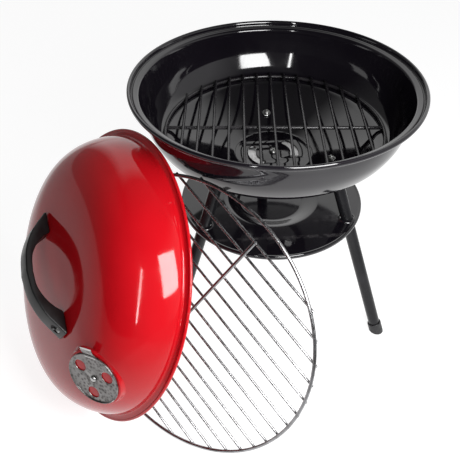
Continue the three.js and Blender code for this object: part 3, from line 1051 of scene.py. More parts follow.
@dataclass
class Bowl(Assembly):
    """The enamelled bowl with its rolled rim, grate ledge and air slots, and the bolt of its damper.

    Attributes:
        sides: How many sides the turned shell has.
        floor_drop: How far the flat bottom lies below the rim.
        slot_radius: The radius of the air slots' arc.
        slot_half: Half the slots' width.
        slot_span: The slots' length, in degrees.
        slot_turn: The direction of the first slot's middle, in degrees.
        hole: The radius of the bolt's hole.
        wall: The inside of the bowl from its flat bottom up, as radius and depth below the rim.
        lip: The rolled rim, carried on from the wall.
        under: The underside of the rim, back to the wall's outside.
    """

    sides: int = 240
    floor_drop: float = 103.0
    slot_radius: float = 28.0
    slot_half: float = 5.0
    slot_span: float = 70.0
    slot_turn: float = 13.0
    hole: float = 3.1
    wall: Outline = field(default_factory=lambda: [
        (45, 103), (48.5, 103), (50.5, 102.8), (54, 101.7), (66, 97.2), (80, 91.8), (94, 86.2), (108, 80.4),
        (122, 74.2), (129, 71.0), (134, 69.6), (139.5, 68.8), (143.2, 67.6), (146, 65.6), (149.4, 61.6),
        (152.8, 56.3), (158.6, 44.2), (162.4, 29.5), (164.8, 15), (165.3, 11.2)])
    lip: Outline = field(default_factory=lambda: [
        (165.3, 11.2), (165.9, 8.8), (167.4, 7.3), (169.4, 6.6), (171.4, 5.9), (172.6, 5.7), (173.4, 6.2),
        (174.3, 6.7), (175.0, 5.8), (175.3, 3.6), (175.9, 1.6), (177.2, 0.35), (178.6, 0.4), (179.7, 1.5),
        (180.0, 3.2), (179.6, 5.2), (178.4, 6.7), (176.9, 7.3)])
    under: tuple[Span, ...] = ((173.6, 8.2), (169.6, 8.9), (167.4, 11.2))

    def build(self) -> None:
        """Builds the shell and the damper's bolt and nut."""
        self.place = Matrix.Translation(bowl_axis())
        self.build_shell()
        self.build_bolt()

    def build_shell(self) -> None:
        """Turns the shell and cuts the two air slots and the bolt hole."""
        rim = rim_height()
        inside = [(r, rim - d) for r, d in flowing(self.wall, 5)]
        lip = [(r, rim - d) for r, d in flowing(self.lip, 5)][1:]
        outside = offset(inside, SHEET)[:-6][::-1]
        under = flowing([lip[-1], *[(r, rim - d) for r, d in self.under], outside[0]], 5)[1:-1]
        shape = Shape()
        rings = shape.lathe([*inside, *lip, *under, *outside], self.sides)
        floor = rim - self.floor_drop
        tops, bottoms = [], []
        for turn in (self.slot_turn, self.slot_turn + 180):
            steps = [shape.ring(arc_slot(self.slot_radius, self.slot_half + grow, turn, self.slot_span,
                                         floor - d))
                     for grow, d in ((0.5, 0.0), (0.12, 0.12), (0.0, 0.45), (0.0, SHEET))]
            shape.skins(steps)
            tops.append(steps[0])
            bottoms.append(steps[-1])
        hole = [shape.ring(circle(self.hole, 32, z)) for z in (floor, floor - SHEET)]
        shape.skins(hole)
        shape.flat(rings[0], [*tops, hole[0]])
        shape.flat(rings[-1], [*bottoms, hole[1]])
        self.piece("bowl_shell", shape, self.place, Slot.BLACK_ENAMEL, "bowl", sharp=50.0)

    def build_bolt(self) -> None:
        """Builds the bolt in the middle of the floor and the nut that carries the damper."""
        floor = self.place @ raised(rim_height() - self.floor_drop)
        at = floor @ raised(0.3) @ Matrix.Rotation(0.6, 4, "Z")
        self.screw("bowl_damper_screw", Screw(5.4, 3.4, 2.6, 12, 2.9), at, "bowl_damper_bolt")
        self.nut("bowl_damper_hex_nut", hexagon_nut(5.0, 3.0, -6.6, -3.2), floor, "bowl_damper_nut")


@dataclass
class BowlDamper(Assembly):
    """The two-bladed plate that turns under the bowl to shut its air slots.

    Attributes:
        radius: The blades' radius.
        span: Each blade's angle, in degrees.
        turn: The direction of the first blade, in degrees.
        hub: The radius of the waist between the blades.
        thickness: The plate's thickness.
        drop: How far the plate's top lies below the rim.
        steps: How many stretches each arc has.
    """

    radius: float = 38.0
    span: float = 92.0
    turn: float = 31.0
    hub: float = 11.0
    thickness: float = 1.2
    drop: float = 104.5
    steps: int = 32

    def outline(self, z: float, inset: float) -> list[Vector]:
        """The outline of the blades at a height, set in from the edge."""
        points = []
        for half_turn in (0, 180):
            for radius, start, end in ((self.radius - inset, -self.span / 2, self.span / 2),
                                       (self.hub - inset, self.span / 2, 180 - self.span / 2)):
                for i in range(self.steps + 1):
                    a = math.radians(self.turn + half_turn + start + (end - start) * i / self.steps)
                    points.append(polar(radius, a, z))
        return points

    def build(self) -> None:
        """Builds the plate with its bent finger tab."""
        top = rim_height() - self.drop
        low = top - self.thickness
        shape = Shape()
        rings = [shape.ring(self.outline(z, inset)) for z, inset in
                 ((low, 0.2), (low + 0.2, 0.0), (top - 0.2, 0.0), (top, 0.2))]
        holes = [shape.ring(circle(3.1, 66, z)) for z in (low, top)]
        shape.skins(holes)
        shape.solid(rings, holes[:1], holes[1:])
        middle = (top + low) / 2
        path = flowing([(34.0, middle), (41.0, middle), (44.6, middle - 0.5), (46.8, middle - 2.6),
                        (47.3, middle - 6.0), (47.3, top - 11.9)], 4)
        side = offset(path, -self.thickness / 2)
        strip = [*offset(path, self.thickness / 2), *side[::-1]]
        shape.slab(strip, 13.0, 0.35, turned(self.turn + 180))
        self.piece("bowl_damper_plate", shape, Matrix.Translation(bowl_axis()), Slot.ZINC, "bowl_damper",
                   Body.BOWL_DAMPER)


@dataclass
class AshTray(Assembly):
    """The round tray under the bowl with its dished middle, curled edge and leg collars.

    Attributes:
        inner: The radius where the flat part starts.
        outer: The radius where the flat part ends.
        collar_top: How far the collars stand above the flat part.
        sides: How many sides the turned tray has.
        hole_sides: How many sides a leg's hole has.
        collar: The section of a leg's collar.
    """

    inner: float = 68.5
    outer: float = 118.7
    collar_top: float = 1.9
    sides: int = 180
    hole_sides: int = 40
    collar: Outline = field(default_factory=lambda: [
        (8.5, -0.3), (12.0, -0.3), (11.7, 0.55), (10.9, 1.35), (10.0, 1.8), (9.2, 1.85), (8.6, 1.4),
        (8.45, 0.6)])

    def build(self) -> None:
        """Builds the tray."""
        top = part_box("ash_tray")[1].z / MM - self.collar_top
        dish = flowing([(0.01, -8), (20, -8), (38, -8), (42.5, -7.9), (46, -7.0), (54, -3.9), (61.5, -1.1),
                        (65, -0.2), (self.inner, 0)], 5)
        dish[0] = (0.0, -8.0)
        edge = flowing([(self.outer, 0), (120.2, 0.15), (121.4, 0.7), (122.6, 0.75), (123.6, -0.1),
                        (124, -1.8), (123.7, -3.8), (123.1, -4.7), (122.3, -4.4), (122.5, -2.6),
                        (121.8, -1.0), (120.4, -0.9), (self.outer, -SHEET)], 5)
        shape = Shape()
        dish_top, dish_low, rim = (shape.lathe(o, self.sides) for o in (dish, offset(dish, SHEET), edge))
        above, below = [dish_top[-1]], [dish_low[-1]]
        for turn in LEG_TURNS.values():
            place = turned(turn)
            hole = [shape.ring([Vector((LEG_SPREAD - LEG_SLOPE * z + 8.95 * p.x, 8.45 * p.y, z))
                                for p in circle(1.0, self.hole_sides)], place) for z in (0.0, -SHEET)]
            shape.skins(hole)
            above.append(hole[0])
            below.append(hole[1])
            self.build_collar(shape, place @ Matrix.Translation((LEG_SPREAD, 0, 0)))
        shape.flat(rim[0], above)
        shape.flat(rim[-1], below)
        self.piece("ash_tray_pressing", shape, Matrix.Translation(bowl_axis()) @ raised(top),
                   Slot.BLACK_ENAMEL, "ash_tray")

    def build_collar(self, shape: Shape, place: Matrix) -> None:
        """Adds the collar round a leg, which leans with the leg.

        Args:
            shape: The tray's shape.
            place: The frame on the leg's axis at the tray's top.
        """
        rings = []
        for r, z in self.collar:
            long = 1.05 if r < 10 else 1.0  # the bore is longer than it is wide, as the leg leans
            rings.append(shape.ring([Vector((p.x * long - LEG_SLOPE * max(z, 0), p.y, z))
                                     for p in circle(r, self.hole_sides)], place))
        shape.skins(rings, closed=True)


@dataclass
class Leg(Assembly):
    """One splayed tube leg with its foot cap, threaded insert, washer and bolt.

    Attributes:
        name: Which leg it is.
        turn: Its direction from the bowl's axis, in degrees.
        tray_height: The tray's height.
        radius: The tube's radius.
        wall: The tube's thickness.
        bottom: Where the tube starts, along the leg from the floor.
        cap: The foot cap's radius.
        cap_length: The foot cap's length.
        seat_drop: How far the bowl's wall lies below the rim where the leg is bolted.
        plug_rise: How far the insert keeps the tube's end from the bowl.
        washer_rise: How far the washer keeps the bolt's head from the bowl.
        sides: How many sides the tube and the cap have.
    """

    name: str
    turn: float
    tray_height: float = 194.5
    radius: float = 8.0
    wall: float = 1.2
    bottom: float = 6.5
    cap: float = 9.8
    cap_length: float = 17.0
    seat_drop: float = 91.8
    plug_rise: float = 4.2
    washer_rise: float = 2.1
    sides: int = 56

    def __post_init__(self) -> None:
        """Works out the leg's frame and length."""
        self.axis = Vector((-LEG_SLOPE, 0, 1)).normalized()
        self.side = Vector((0, 1, 0))
        self.across = self.side.cross(self.axis)
        self.foot = Vector((LEG_SPREAD + LEG_SLOPE * self.tray_height, 0, 0))
        self.length = (rim_height() - self.seat_drop - SHEET) / self.axis.z
        self.top = self.length - self.plug_rise
        self.around = Matrix.Translation(bowl_axis()) @ turned(self.turn)

    def at(self, distance: float) -> Matrix:
        """The leg's frame at a distance up from the floor, in the row frame."""
        origin = self.foot + self.axis * distance
        return self.around @ basis(self.across, self.side, self.axis, origin)

    def named(self, name: str) -> str:
        """The name of this leg's piece or node of a kind."""
        return f"{name}_{self.name}"

    def build(self) -> None:
        """Builds the leg's pieces."""
        self.build_tube()
        self.build_cap()
        self.build_joint()

    def build_tube(self) -> None:
        """Builds the tube with its rounded ends."""
        outer, inner = self.radius, self.radius - self.wall
        ends = [(inner, 0.35), (inner + 0.35, 0), (outer - 0.5, 0), (outer - 0.12, 0.14), (outer, 0.55)]
        length = self.top - self.bottom
        body = [(outer, 0.55 + (length - 1.1) * i / 12) for i in range(1, 12)]
        top = [(r, length - z) for r, z in reversed(ends)]
        shape = Shape()
        shape.lathe([*ends, *body, *top], self.sides, closed=True)
        self.piece(self.named("leg_tube"), shape, self.at(self.bottom), Slot.LEG_COAT, self.named("leg"))

    def level(self, shape: Shape, radius: float, height: float) -> Ring:
        """Adds a ring round the leg whose points all lie at one height above the floor."""
        points = []
        for p in circle(radius, self.sides):
            along = (height - p.x * self.across.z) / self.axis.z
            points.append(self.foot + self.across * p.x + self.side * p.y + self.axis * along)
        return shape.ring(points)

    def build_cap(self) -> None:
        """Builds the moulded cap, cut level where it stands on the floor."""
        shape = Shape()
        r, tip = self.cap, self.cap_length
        rings = [self.level(shape, radius, z) for radius, z in
                 ((r - 3.2, 0.0), (r - 1.3, 0.0), (r - 0.5, 0.22), (r - 0.1, 0.8), (r, 1.6))]
        local = basis(self.across, self.side, self.axis, self.foot)
        sleeve = [(r, 5.4), (r - 0.02, 5.6), (r - 0.35, 6.0), (r - 0.35, 6.8), (r - 0.02, 7.2), (r, 7.4),
                  (r, 13.0), (r, tip - 1.6), (r - 0.2, tip - 0.6), (r - 0.7, tip - 0.1), (r - 1.0, tip),
                  (self.radius + 0.35, tip - 0.2), (self.radius + 0.3, tip - 0.8),
                  (self.radius + 0.3, self.bottom - 0.3), (0, self.bottom - 0.3)]
        turned = shape.lathe(sleeve, self.sides, local)
        shape.skins([*rings, turned[0]])
        shape.flat(rings[0])
        self.piece(self.named("leg_foot"), shape, self.around, Slot.CAP_PLASTIC, self.named("leg_cap"))

    def build_joint(self) -> None:
        """Builds the insert in the tube's top, and the washer and bolt inside the bowl."""
        inner = self.radius - self.wall - 0.3
        top = self.top
        outline = [(3.3, top - 16), (inner - 0.5, top - 16), (inner, top - 15.5)]
        ribs = [(inner - (0.3 if i % 2 else 0.0), top - 14.5 + i * 1.5) for i in range(10)]
        flange = [(inner, top + 0.3), (self.radius - 0.3, top + 0.3), (self.radius, top + 0.6),
                  (self.radius, top + 1.9), (self.radius - 0.3, top + 2.2), (3.6, top + 2.2),
                   (3.3, top + 1.9)]
        insert = Shape()
        insert.lathe([*outline, *ribs, *flange], 48, closed=True)
        self.piece(self.named("leg_plug"), insert, self.at(0), Slot.ZINC, self.named("leg_insert"))
        seat = self.length + SHEET
        self.piece(self.named("leg_plain_washer"), washer(5.6, 3.2, 0.55, 1.75), self.at(seat), Slot.ZINC,
                   self.named("leg_washer"))
        at = self.at(seat + self.washer_rise) @ turned(self.turn * 1.7)
        self.screw(self.named("leg_screw"), Screw(4.2, 2.9, 2.8, 18, 2.4), at, self.named("leg_bolt"))


@dataclass
class WireGrate:
    """A round grate of parallel rods welded on a ring, with one cross bar.

    Attributes:
        ring: The ring's radius.
        ring_wire: The radius of the ring's wire.
        rod_wire: The radius of the rods' wire.
        pitch: The distance between rods.
        each: How many rods there are on each side of the middle one.
        rod_end: The radius at which the rods end.
        bar_end: The radius at which the cross bar ends.
        bite: How much of their thickness is left where crossing wires are pressed together.
    """

    ring: float
    ring_wire: float
    rod_wire: float
    pitch: float
    each: int
    rod_end: float
    bar_end: float
    bite: float = 0.86

    def shape(self) -> Shape:
        """Builds the grate lying level about the origin, with its rods on top of the ring.

        Returns:
            The shape.
        """
        made = Shape()
        lift = (self.ring_wire + self.rod_wire) * self.bite
        made.hoop(self.ring, self.ring_wire)
        for i in range(-self.each, self.each + 1):
            x = i * self.pitch
            half = math.sqrt(self.rod_end ** 2 - x ** 2)
            made.rod(Vector((x, -half, lift)), Vector((x, half, lift)), self.rod_wire)
            cross = math.sqrt(self.ring ** 2 - x ** 2)
            weld = (self.rod_wire * 1.25, self.rod_wire * 1.6, self.ring_wire * 0.62)
            for y in (-cross, cross):
                made.bead(Vector((x, y, lift * 0.52)), weld)
            if abs(x) < self.bar_end:
                made.bead(Vector((x, 0, lift * 0.52)), (weld[1], weld[0], weld[2]))
        made.rod(Vector((-self.bar_end, 0, 0)), Vector((self.bar_end, 0, 0)), self.ring_wire)
        return made


@dataclass
class Grates(Assembly):
    """The fire grate on the bowl's ledge and the cooking grid that leans beside the bowl.

    Attributes:
        fire: The fire grate's sizes.
        cooking: The cooking grid's sizes.
        fire_turn: How far the fire grate is turned, in degrees.
        grid_lean: How far the grid's underside faces up, in degrees.
        grid_turn: How far its rods are turned from its level axis, in degrees.
    """

    fire: WireGrate = field(default_factory=lambda: WireGrate(138.5, 2.3, 1.8, 19.3, 6, 141.2, 138.5))
    cooking: WireGrate = field(default_factory=lambda: WireGrate(171.5, 2.0, 1.5, 20.8, 7, 173.4, 149.0))
    fire_turn: float = -4.6
    grid_lean: float = 20.1
    grid_turn: float = -27.1

    def build(self) -> None:
        """Builds both grates."""
        self.build_fire_grate()
        self.build_cooking_grid()

    def build_fire_grate(self) -> None:
        """Builds the fire grate, lying level."""
        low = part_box("charcoal_grate")[0].z / MM + self.fire.ring_wire * math.cos(math.pi / 6)
        place = Matrix.Translation(bowl_axis() + Vector((0, 0, low)))
        place = place @ turned(self.fire_turn)
        self.piece("fire_grate_wires", self.fire.shape(), place, Slot.GRATE_WIRE, "charcoal_grate",
                   Body.CHARCOAL_GRATE)

    def build_cooking_grid(self) -> None:
        """Builds the cooking grid, standing on its edge."""
        low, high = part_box("cooking_grid")
        level = Vector(joint("grid_pull")["axis"]).normalized()
        lean = math.radians(self.grid_lean)
        out = Vector((level.y, -level.x, 0))
        facing = out * math.cos(lean) + Vector((0, 0, math.sin(lean)))
        place = basis(level, facing.cross(level), facing, Vector())
        place = place @ turned(self.grid_turn + 90)
        place = place @ Matrix.Rotation(math.pi, 4, "X")
        shape = self.cooking.shape()
        spread = [place @ p for p in shape.points]
        middle = Vector([(min(p[k] for p in spread) + max(p[k] for p in spread)) / 2 for k in range(3)])
        place = Matrix.Translation((low + high) / 2 / MM - middle) @ place
        self.piece("cooking_grid_wires", shape, place, Slot.CHROME_WIRE, "cooking_grid", Body.COOKING_GRID)


@dataclass
class Lid(Assembly):
    """The red enamelled lid with its stepped brim and the pressed seat of its vent.

    Attributes:
        lines: How many lines of faces run from the vent to the brim.
        rows: How many rows of faces the dome has between them.
        crowding: How much closer the rows stand round the vent, 1 being evenly spaced.
        radius: The dome's radius.
        step: The height at which the dome starts.
        rise: The dome's height above that.
        fullness: How square the dome's shoulder is, less being squarer.
        crown: How quickly the dome flattens to its crown.
        shoulder: The share of the radius at which the shoulder starts.
        vent_turn: The vent's direction, in degrees.
        vent_tilt: How far the vent's axis leans out, in degrees.
        vent_radius: The vent's distance from the lid's axis.
        vent_height: The height of the dome there.
        seat_drop: How far the seat is pressed in.
        seat: The radius of the seat's flat.
        flare: The width of the step round the seat.
        rivet_hole: The radius of the rivet's hole.
        hole: The radius of the vent holes.
        hole_offset: Their distance from the vent's middle.
        hole_turn: The direction of the first, in degrees.
        brim: The brim's outside, as radius and height.
    """

    lines: int = 320
    rows: int = 64
    crowding: float = 1.25
    radius: float = 173.5
    step: float = 9.6
    rise: float = 66.45
    fullness: float = 0.33
    crown: float = 1.45
    shoulder: float = 0.93
    vent_turn: float = -18.1
    vent_tilt: float = 34.0
    vent_radius: float = 139.8
    vent_height: float = 62.6
    seat_drop: float = 2.4
    seat: float = 35.2
    flare: float = 3.0
    rivet_hole: float = 2.6
    hole: float = 7.5
    hole_offset: float = 20.8
    hole_turn: float = 238.0
    brim: Outline = field(default_factory=lambda: [
        (173.5, 9.6), (173.5, 8.0), (173.8, 6.0), (174.8, 4.7), (176.6, 4.0), (178.6, 3.55), (179.8, 3.5),
        (180.6, 3.9), (181.5, 3.95), (182.5, 3.2), (182.85, 2.2), (182.6, 1.1), (182.0, 0.45)])

    def __post_init__(self) -> None:
        """Works out the lid's frame, its vent's frame and its meridian."""
        up, turn, tilt = Vector((0, 0, 1)), math.radians(self.vent_turn), math.radians(self.vent_tilt)
        out = Vector((math.cos(turn), math.sin(turn), 0))
        z = up * math.cos(tilt) + out * math.sin(tilt)
        x = out * math.cos(tilt) - up * math.sin(tilt)
        origin = out * self.vent_radius + up * self.vent_height - z * self.seat_drop
        self.vent = basis(x, z.cross(x), z, origin)
        axis = Vector(joint("lid_lift")["axis"]).normalized()
        level = Vector((-axis.y, axis.x, 0)).normalized()
        turned = basis(level, axis.cross(level), axis, Vector())
        pivot = Vector(joint("lid_damper_turn")["pos_m"]) / MM
        self.place = Matrix.Translation(pivot - turned @ (self.vent @ Vector((0, 0, 0.6)))) @ turned
        flat_steps, steep_steps = 120, 100
        self.meridian: Outline = [self.dome(self.shoulder * self.radius * i / flat_steps)
                                  for i in range(flat_steps + 1)]
        start = math.acos(self.shoulder ** (1 / self.fullness))
        for i in range(1, steep_steps + 1):
            a = start * (1 - i / steep_steps)
            self.meridian.append((self.radius * math.cos(a) ** self.fullness,
                                  self.step + self.rise * math.sin(a) ** self.crown))
        self.run = [0.0]
        for (r0, z0), (r1, z1) in zip(self.meridian, self.meridian[1:]):
            self.run.append(self.run[-1] + math.hypot(r1 - r0, z1 - z0))

    def dome(self, radius: float) -> Span:
        """The point of the dome's outside at a distance from its axis."""
        a = math.acos(min(radius / self.radius, 1.0) ** (1 / self.fullness))
        return radius, self.step + self.rise * math.sin(a) ** self.crown

    def spread(self, u: float, v: float) -> Vector:
        """The point of the dome at a place on its spread-out disc."""
        length, turn = math.hypot(u, v), math.atan2(v, u)
        k = min(bisect_right(self.run, length), len(self.run) - 1)
        t = min((length - self.run[k - 1]) / (self.run[k] - self.run[k - 1]), 1.0)
        (r0, z0), (r1, z1) = self.meridian[k - 1], self.meridian[k]
        r = r0 + (r1 - r0) * t
        return Vector((r * math.cos(turn), r * math.sin(turn), z0 + (z1 - z0) * t))

    def disc_place(self, point: Vector) -> Vector:
        """The place on the spread-out disc of a point of the dome."""
        r = math.hypot(point.x, point.y)
        k = min(range(len(self.run)),
                key=lambda i: (self.meridian[i][0] - r) ** 2 + (self.meridian[i][1] - point.z) ** 2)
        step = Vector((r - self.meridian[k][0], point.z - self.meridian[k][1]))
        b = self.meridian[min(k + 1, len(self.run) - 1)]
        a = self.meridian[max(k - 1, 0)]
        way = Vector((b[0] - a[0], b[1] - a[1])).normalized()
        return Vector((point.x, point.y)).normalized() * (self.run[k] + step.dot(way))

    def above_seat(self, rho: float, theta: float) -> float:
        """How high the dome stands over the seat's plane at a point round the vent."""
        low, high, halvings = -60.0, 40.0, 40
        for _ in range(halvings):
            h = (low + high) / 2
            p = self.vent @ polar(rho, theta, h)
            r = math.hypot(p.x, p.y)
            over = r > self.radius or p.z > self.dome(r)[1]
            low, high = (low, h) if over else (h, high)
        return (low + high) / 2

    def seat_rings(self, shape: Shape) -> list[Ring]:
        """Adds the vent's seat, flat and pierced, and the step that blends it into the dome.

        Args:
            shape: The lid's shape.

        Returns:
            The rings from the seat's edge outwards.
        """
        turns = [2 * math.pi * j / self.lines for j in range(self.lines)]
        seat = shape.ring(circle(self.seat, self.lines), self.vent)
        holes = [shape.ring(circle(self.rivet_hole, 24), self.vent)]
        for k in range(3):
            a = math.radians(self.hole_turn + 120 * k)
            holes.append(shape.ring(circle(self.hole, 48, 0, self.hole_offset * math.cos(a),
                                           self.hole_offset * math.sin(a)), self.vent))
        shape.flat(seat, holes)
        rings = [seat]
        tops = [self.above_seat(self.seat + self.flare, t) for t in turns]
        for share in (0.06, 0.16, 0.28, 0.4, 0.5, 0.6, 0.72, 0.84, 0.94, 1.0):
            rho = self.seat + self.flare * share
            blend = share * share * (3 - 2 * share)
            rings.append(shape.ring([polar(rho, t, top * blend)
                                     for t, top in zip(turns, tops)], self.vent))
        return rings

    def build(self) -> None:
        """Builds the lid's sheet, with lines of faces that run from the vent's seat to the brim."""
        shape = Shape()
        rings = self.seat_rings(shape)
        starts = [self.disc_place(shape.points[i]) for i in rings[-1]]
        reach = self.run[-1]
        heart = sum(starts, Vector((0.0, 0.0))) / self.lines
        ends = []
        for start in starts:
            way = (start - heart).normalized()
            half = heart.dot(way)
            ends.append(heart + way * (-half + math.sqrt(half * half - heart.length_squared + reach ** 2)))
        for i in range(1, self.rows + 1):
            t = (i / self.rows) ** self.crowding
            rings.append(shape.ring([self.spread(*(a.lerp(b, t))) for a, b in zip(starts, ends)]))
        for r, z in flowing(self.brim, 4)[1:]:
            rings.append(shape.ring([Vector((r * e.x / e.length, r * e.y / e.length, z)) for e in ends]))
        shape.skins(rings)
        self.piece("lid_shell", shape, self.place, Slot.RED_ENAMEL, "lid", Body.LID, sharp=60.0, sheet=SHEET)


@dataclass
class LidHandle(Assembly):
    """The arched moulded handle on the lid's crown, with its two screws and nuts.

    Attributes:
        lid: The lid it is screwed to.
        turn: The direction its length runs in, in degrees.
        width: Its width.
        bevel: The radius of its long edges.
        screw_at: The distance of each screw from the lid's axis.
        pocket: The height of the floor of the screw pockets.
        outer: Half the arch's outside, from the foot to the top, as distance and height.
        inner: Half its inside, from the top to the foot.
    """

    lid: Lid
    turn: float = 153.0
    width: float = 20.0
    bevel: float = 1.5
    screw_at: float = 70.0
    pocket: float = 81.0
    outer: Outline = field(default_factory=lambda: [
        (78.2, 76.9), (79, 77.6), (78.8, 79.2), (77.4, 80.7), (74.8, 82.6), (64.3, 91), (52, 99.6),
        (28, 109.6), (0, 113.1)])
    inner: Outline = field(default_factory=lambda: [
        (0, 105), (19.8, 102.8), (35, 95.4), (44.5, 87), (49.6, 80.2), (52, 76.9)])

    def build(self) -> None:
        """Builds the handle and its fasteners."""
        place = self.lid.place @ turned(self.turn)
        right, left = flowing(self.outer, 5), flowing(self.inner, 5)
        outline = [*right, *[(-x, z) for x, z in right[-2::-1]], *[(-x, z) for x, z in left[::-1]], *left[1:]]
        shape, pockets = Shape(), Shape()
        shape.slab(outline, self.width, self.bevel, Matrix.Identity(4), steps=5)
        for side in (-1, 1):
            at = Matrix.Translation((side * self.screw_at, 0, 0))
            pockets.lathe([(0, self.pocket), (4.9, self.pocket), (5.2, self.pocket + 0.3), (5.2, 100),
                           (0, 100)], 40, at)
        self.piece("lid_handle_bar", shape, place, Slot.BLACK_PLASTIC, "lid_handle", Body.LID, sharp=50.0,
                   cut=pockets)
        for side, name in ((-1, "lower"), (1, "upper")):
            at = place @ Matrix.Translation((side * self.screw_at, 0, self.pocket + 0.3))
            self.screw(f"lid_handle_bolt_{name}", Screw(4.4, 2.8, 2.5, 13, 2.4), at, f"handle_screw_{name}",
                       Body.LID)
            self.nut(f"lid_handle_hex_nut_{name}", hexagon_nut(4.6, 2.9, -10.2, -7.0), at,
                     f"handle_nut_{name}", Body.LID)


@dataclass
class LidVent(Assembly):
    """The steel disc that turns on the lid's vent seat, and the rivet that holds it.

    Attributes:
        lid: The lid it turns on.
        hole: The radius of its three holes.
        offset: Their distance from its middle.
        turn: The direction of the first hole, in degrees.
        tab_turn: The direction of the finger tab, in degrees.
        edge: The section of its rolled edge.
    """

    lid: Lid
    hole: float = 7.5
    offset: float = 20.8
    turn: float = 178.0
    tab_turn: float = 127.0
    edge: Outline = field(default_factory=lambda: [
        (30.2, 1.25), (31.0, 1.35), (31.8, 1.9), (32.4, 2.5), (32.9, 2.65), (33.3, 2.3), (33.4, 1.5),
        (33.3, 0.6), (33.0, 0.3)])

    def build(self) -> None:
        """Builds the disc and the rivet."""
        place = self.lid.place @ self.lid.vent
        shape = Shape()
        rings = shape.lathe(flowing(self.edge, 4), 120)
        tops, lows = [], []
        centres = [(0.0, 0.0, self.lid.rivet_hole)]
        for k in range(3):
            a = math.radians(self.turn + 120 * k)
            centres.append((self.offset * math.cos(a), self.offset * math.sin(a), self.hole))
        for x, y, r in centres:
            steps = [shape.ring(circle(r + grow, 48, z, x, y))
                     for grow, z in ((0.4, 1.25), (0.1, 1.15), (0.0, 0.9), (0.0, 0.45), (0.15, 0.3))]
            shape.skins(steps)
            tops.append(steps[0])
            lows.append(steps[-1])
        shape.flat(rings[0], tops)
        shape.flat(rings[-1], lows)
        path = flowing([(28.5, 0.85), (31.5, 1.0), (34.0, 2.1), (37.0, 3.8), (41.0, 5.2), (44.5, 6.0)], 4)
        strip = [*offset(path, 0.5), *offset(path, -0.5)[::-1]]
        shape.slab(strip, 15.0, 0.3, turned(self.tab_turn))
        self.piece("lid_damper_disc", shape, place, Slot.DAMPER_STEEL, "lid_damper", Body.LID_DAMPER)
        rivet = Shape()
        head = flowing([(3.8, 2.0), (3.7, 2.4), (3.1, 3.1), (1.9, 3.6), (0.0, 3.8)], 4)
        rivet.lathe([(0, -3.1), (3.2, -3.1), (4.1, -2.7), (4.4, -2.2), (4.4, -1.5), (2.2, -1.5), (2.2, 1.8),
                     (3.6, 1.8), *head], 40)
        self.piece("lid_vent_rivet", rivet, place, Slot.ZINC, "lid_damper_rivet", Body.LID)


# ---------------------------------------------------------------- studio


@dataclass(frozen=True)
class Panel:
    """A soft rectangular lamp.

    Attributes:
        name: Its name.
        azimuth: The direction it stands in, in degrees from +x towards +y.
        elevation: How high it stands, in degrees.
        distance: How far it stands from the grill, in metres.
        size: Its width and height, in metres.
        power: Its power, in watts.
    """

    name: str
    azimuth: float
    elevation: float
    distance: float
    size: Span
    power: float

    def build(self, target: Vector) -> None:
        """Places the lamp so that it faces a point, in metres."""
        lamp = bpy.data.lights.new(self.name, "AREA")
        lamp.shape = "RECTANGLE"
        lamp.size, lamp.size_y = self.size
        lamp.energy = self.power
        az, el = math.radians(self.azimuth), math.radians(self.elevation)
        away = Vector((math.cos(az) * math.cos(el), math.sin(az) * math.cos(el), math.sin(el)))
        made = bpy.data.objects.new(self.name, lamp)
        made.location = target + away * self.distance
        made.rotation_euler = away.to_track_quat("Z", "Y").to_euler()
        bpy.context.scene.collection.objects.link(made)


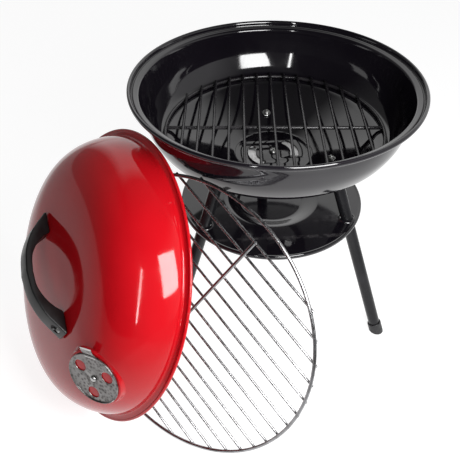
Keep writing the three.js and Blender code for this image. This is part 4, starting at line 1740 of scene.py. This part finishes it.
@dataclass
class Studio:
    """The pale floor, the soft light round the grill and the camera.

    Attributes:
        floor_size: The floor's width, in metres.
        back_light: The light from behind the grill.
        right_light: The light from its right.
        front_light: The light from the camera's side.
        left_share: The share of that light that is left to the left.
        overhead: The share that is left overhead.
        back_span: The part of a direction's y over which the back light comes in.
        right_span: The part of its x over which the right light comes in.
        left_span: The part of its x over which the left's share grows to the whole.
        overhead_span: The part of its z over which the light falls to the overhead's share.
        floor_gap: How far the floor lies under the feet, in millimetres.
        aim: The height that the lamps point at, in metres.
        eye: From the floor under the bowl's middle to the camera, in millimetres.
        azimuth: The direction the camera looks in, in degrees clockwise from +y.
        tilt: How far it looks down, in degrees.
        roll: How far it is rolled, in degrees.
        lens: Its focal length, in millimetres.
        panels: The lamps.
    """

    finishes: Finishes
    floor_size: float = 24.0
    back_light: float = 1.2
    right_light: float = 0.75
    front_light: float = 0.13
    left_share: float = 0.16
    overhead: float = 0.12
    back_span: Span = (-0.1, 0.45)
    right_span: Span = (0.35, 0.8)
    left_span: Span = (-0.44, -0.28)
    overhead_span: Span = (0.74, 0.88)
    floor_gap: float = 0.4
    aim: float = 0.25
    eye: Triple = (-104.95, -673.3, 726.2)
    azimuth: float = 4.05
    tilt: float = 41.2
    roll: float = 0.25
    lens: float = 48.47
    panels: tuple[Panel, ...] = (
        Panel("key_window", -73.5, 31.0, 0.68, (0.30, 0.36), 7.0),
        Panel("tall_strip", -111.0, 24.0, 1.5, (0.05, 0.9), 3.6),
    )

    def build(self) -> None:
        """Builds the floor, the lights and the camera."""
        self.build_floor()
        self.build_sky()
        target = bowl_axis() * MM + Vector((0, 0, self.aim))
        for panel in self.panels:
            panel.build(target)
        self.build_camera()

    def build_floor(self) -> None:
        """Lays the floor just under the grill."""
        shape = Shape()
        half = self.floor_size / MM / 2
        shape.faces.append(tuple(shape.ring([Vector((x * half, y * half, -self.floor_gap))
                                             for x, y in ((-1, -1), (1, -1), (1, 1), (-1, 1))])))
        mesh = shape.mesh("studio_floor", Matrix.Scale(MM, 4))
        mesh.materials.append(self.finishes.floor_paper)
        floor = bpy.data.objects.new("studio_floor", mesh)
        bpy.context.scene.collection.objects.link(floor)
        log.info("floor laid")

    def build_sky(self) -> None:
        """Sets the soft light of the room: bright low down behind the grill, dark in front and overhead."""
        world = bpy.data.worlds.new("studio_room")
        bpy.context.scene.world = world
        world.use_nodes = True
        nodes = Wiring(world.node_tree)
        direction = nodes.add("ShaderNodeSeparateXYZ")
        nodes.join(nodes.add("ShaderNodeTexCoord").outputs["Generated"], direction.inputs[0])
        x, y, z = direction.outputs
        low = nodes.maths("MAXIMUM", nodes.fit(y, *self.back_span, self.front_light, self.back_light),
                          nodes.fit(x, *self.right_span, self.front_light, self.right_light))
        low = nodes.maths("MULTIPLY", low, nodes.fit(x, *self.left_span, self.left_share, 1.0))
        light = nodes.maths("MULTIPLY", low, nodes.fit(z, *self.overhead_span, 1.0, self.overhead))
        glow = nodes.add("ShaderNodeBackground")
        nodes.join(light, glow.inputs["Color"])
        nodes.join(glow.outputs[0], nodes.add("ShaderNodeOutputWorld").inputs["Surface"])
        bpy.context.scene.view_settings.view_transform = "Standard"
        log.info("room light set")

    def build_camera(self) -> None:
        """Places the camera."""
        az, tilt, roll = (math.radians(v) for v in (self.azimuth, self.tilt, self.roll))
        ahead = Vector((math.sin(az) * math.cos(tilt), math.cos(az) * math.cos(tilt), -math.sin(tilt)))
        right = ahead.cross(Vector((0, 0, 1))).normalized()
        right = Matrix.Rotation(roll, 3, ahead) @ right
        data = bpy.data.cameras.new("camera")
        data.lens = self.lens
        camera = bpy.data.objects.new("camera", data)
        camera.matrix_world = basis(right, right.cross(ahead), -ahead, (bowl_axis() + Vector(self.eye)) * MM)
        bpy.context.scene.collection.objects.link(camera)
        bpy.context.scene.camera = camera
        log.info("camera placed")


def main() -> None:
    """Builds the grill and its studio."""
    logging.basicConfig(level=logging.INFO, format="%(message)s")
    finishes = Finishes()
    Bowl(finishes).build()
    BowlDamper(finishes).build()
    AshTray(finishes).build()
    for name, turn in LEG_TURNS.items():
        Leg(finishes, name, turn).build()
    Grates(finishes).build()
    lid = Lid(finishes)
    lid.build()
    LidHandle(finishes, lid).build()
    LidVent(finishes, lid).build()
    Studio(finishes).build()


if __name__ == "__main__":
    main()
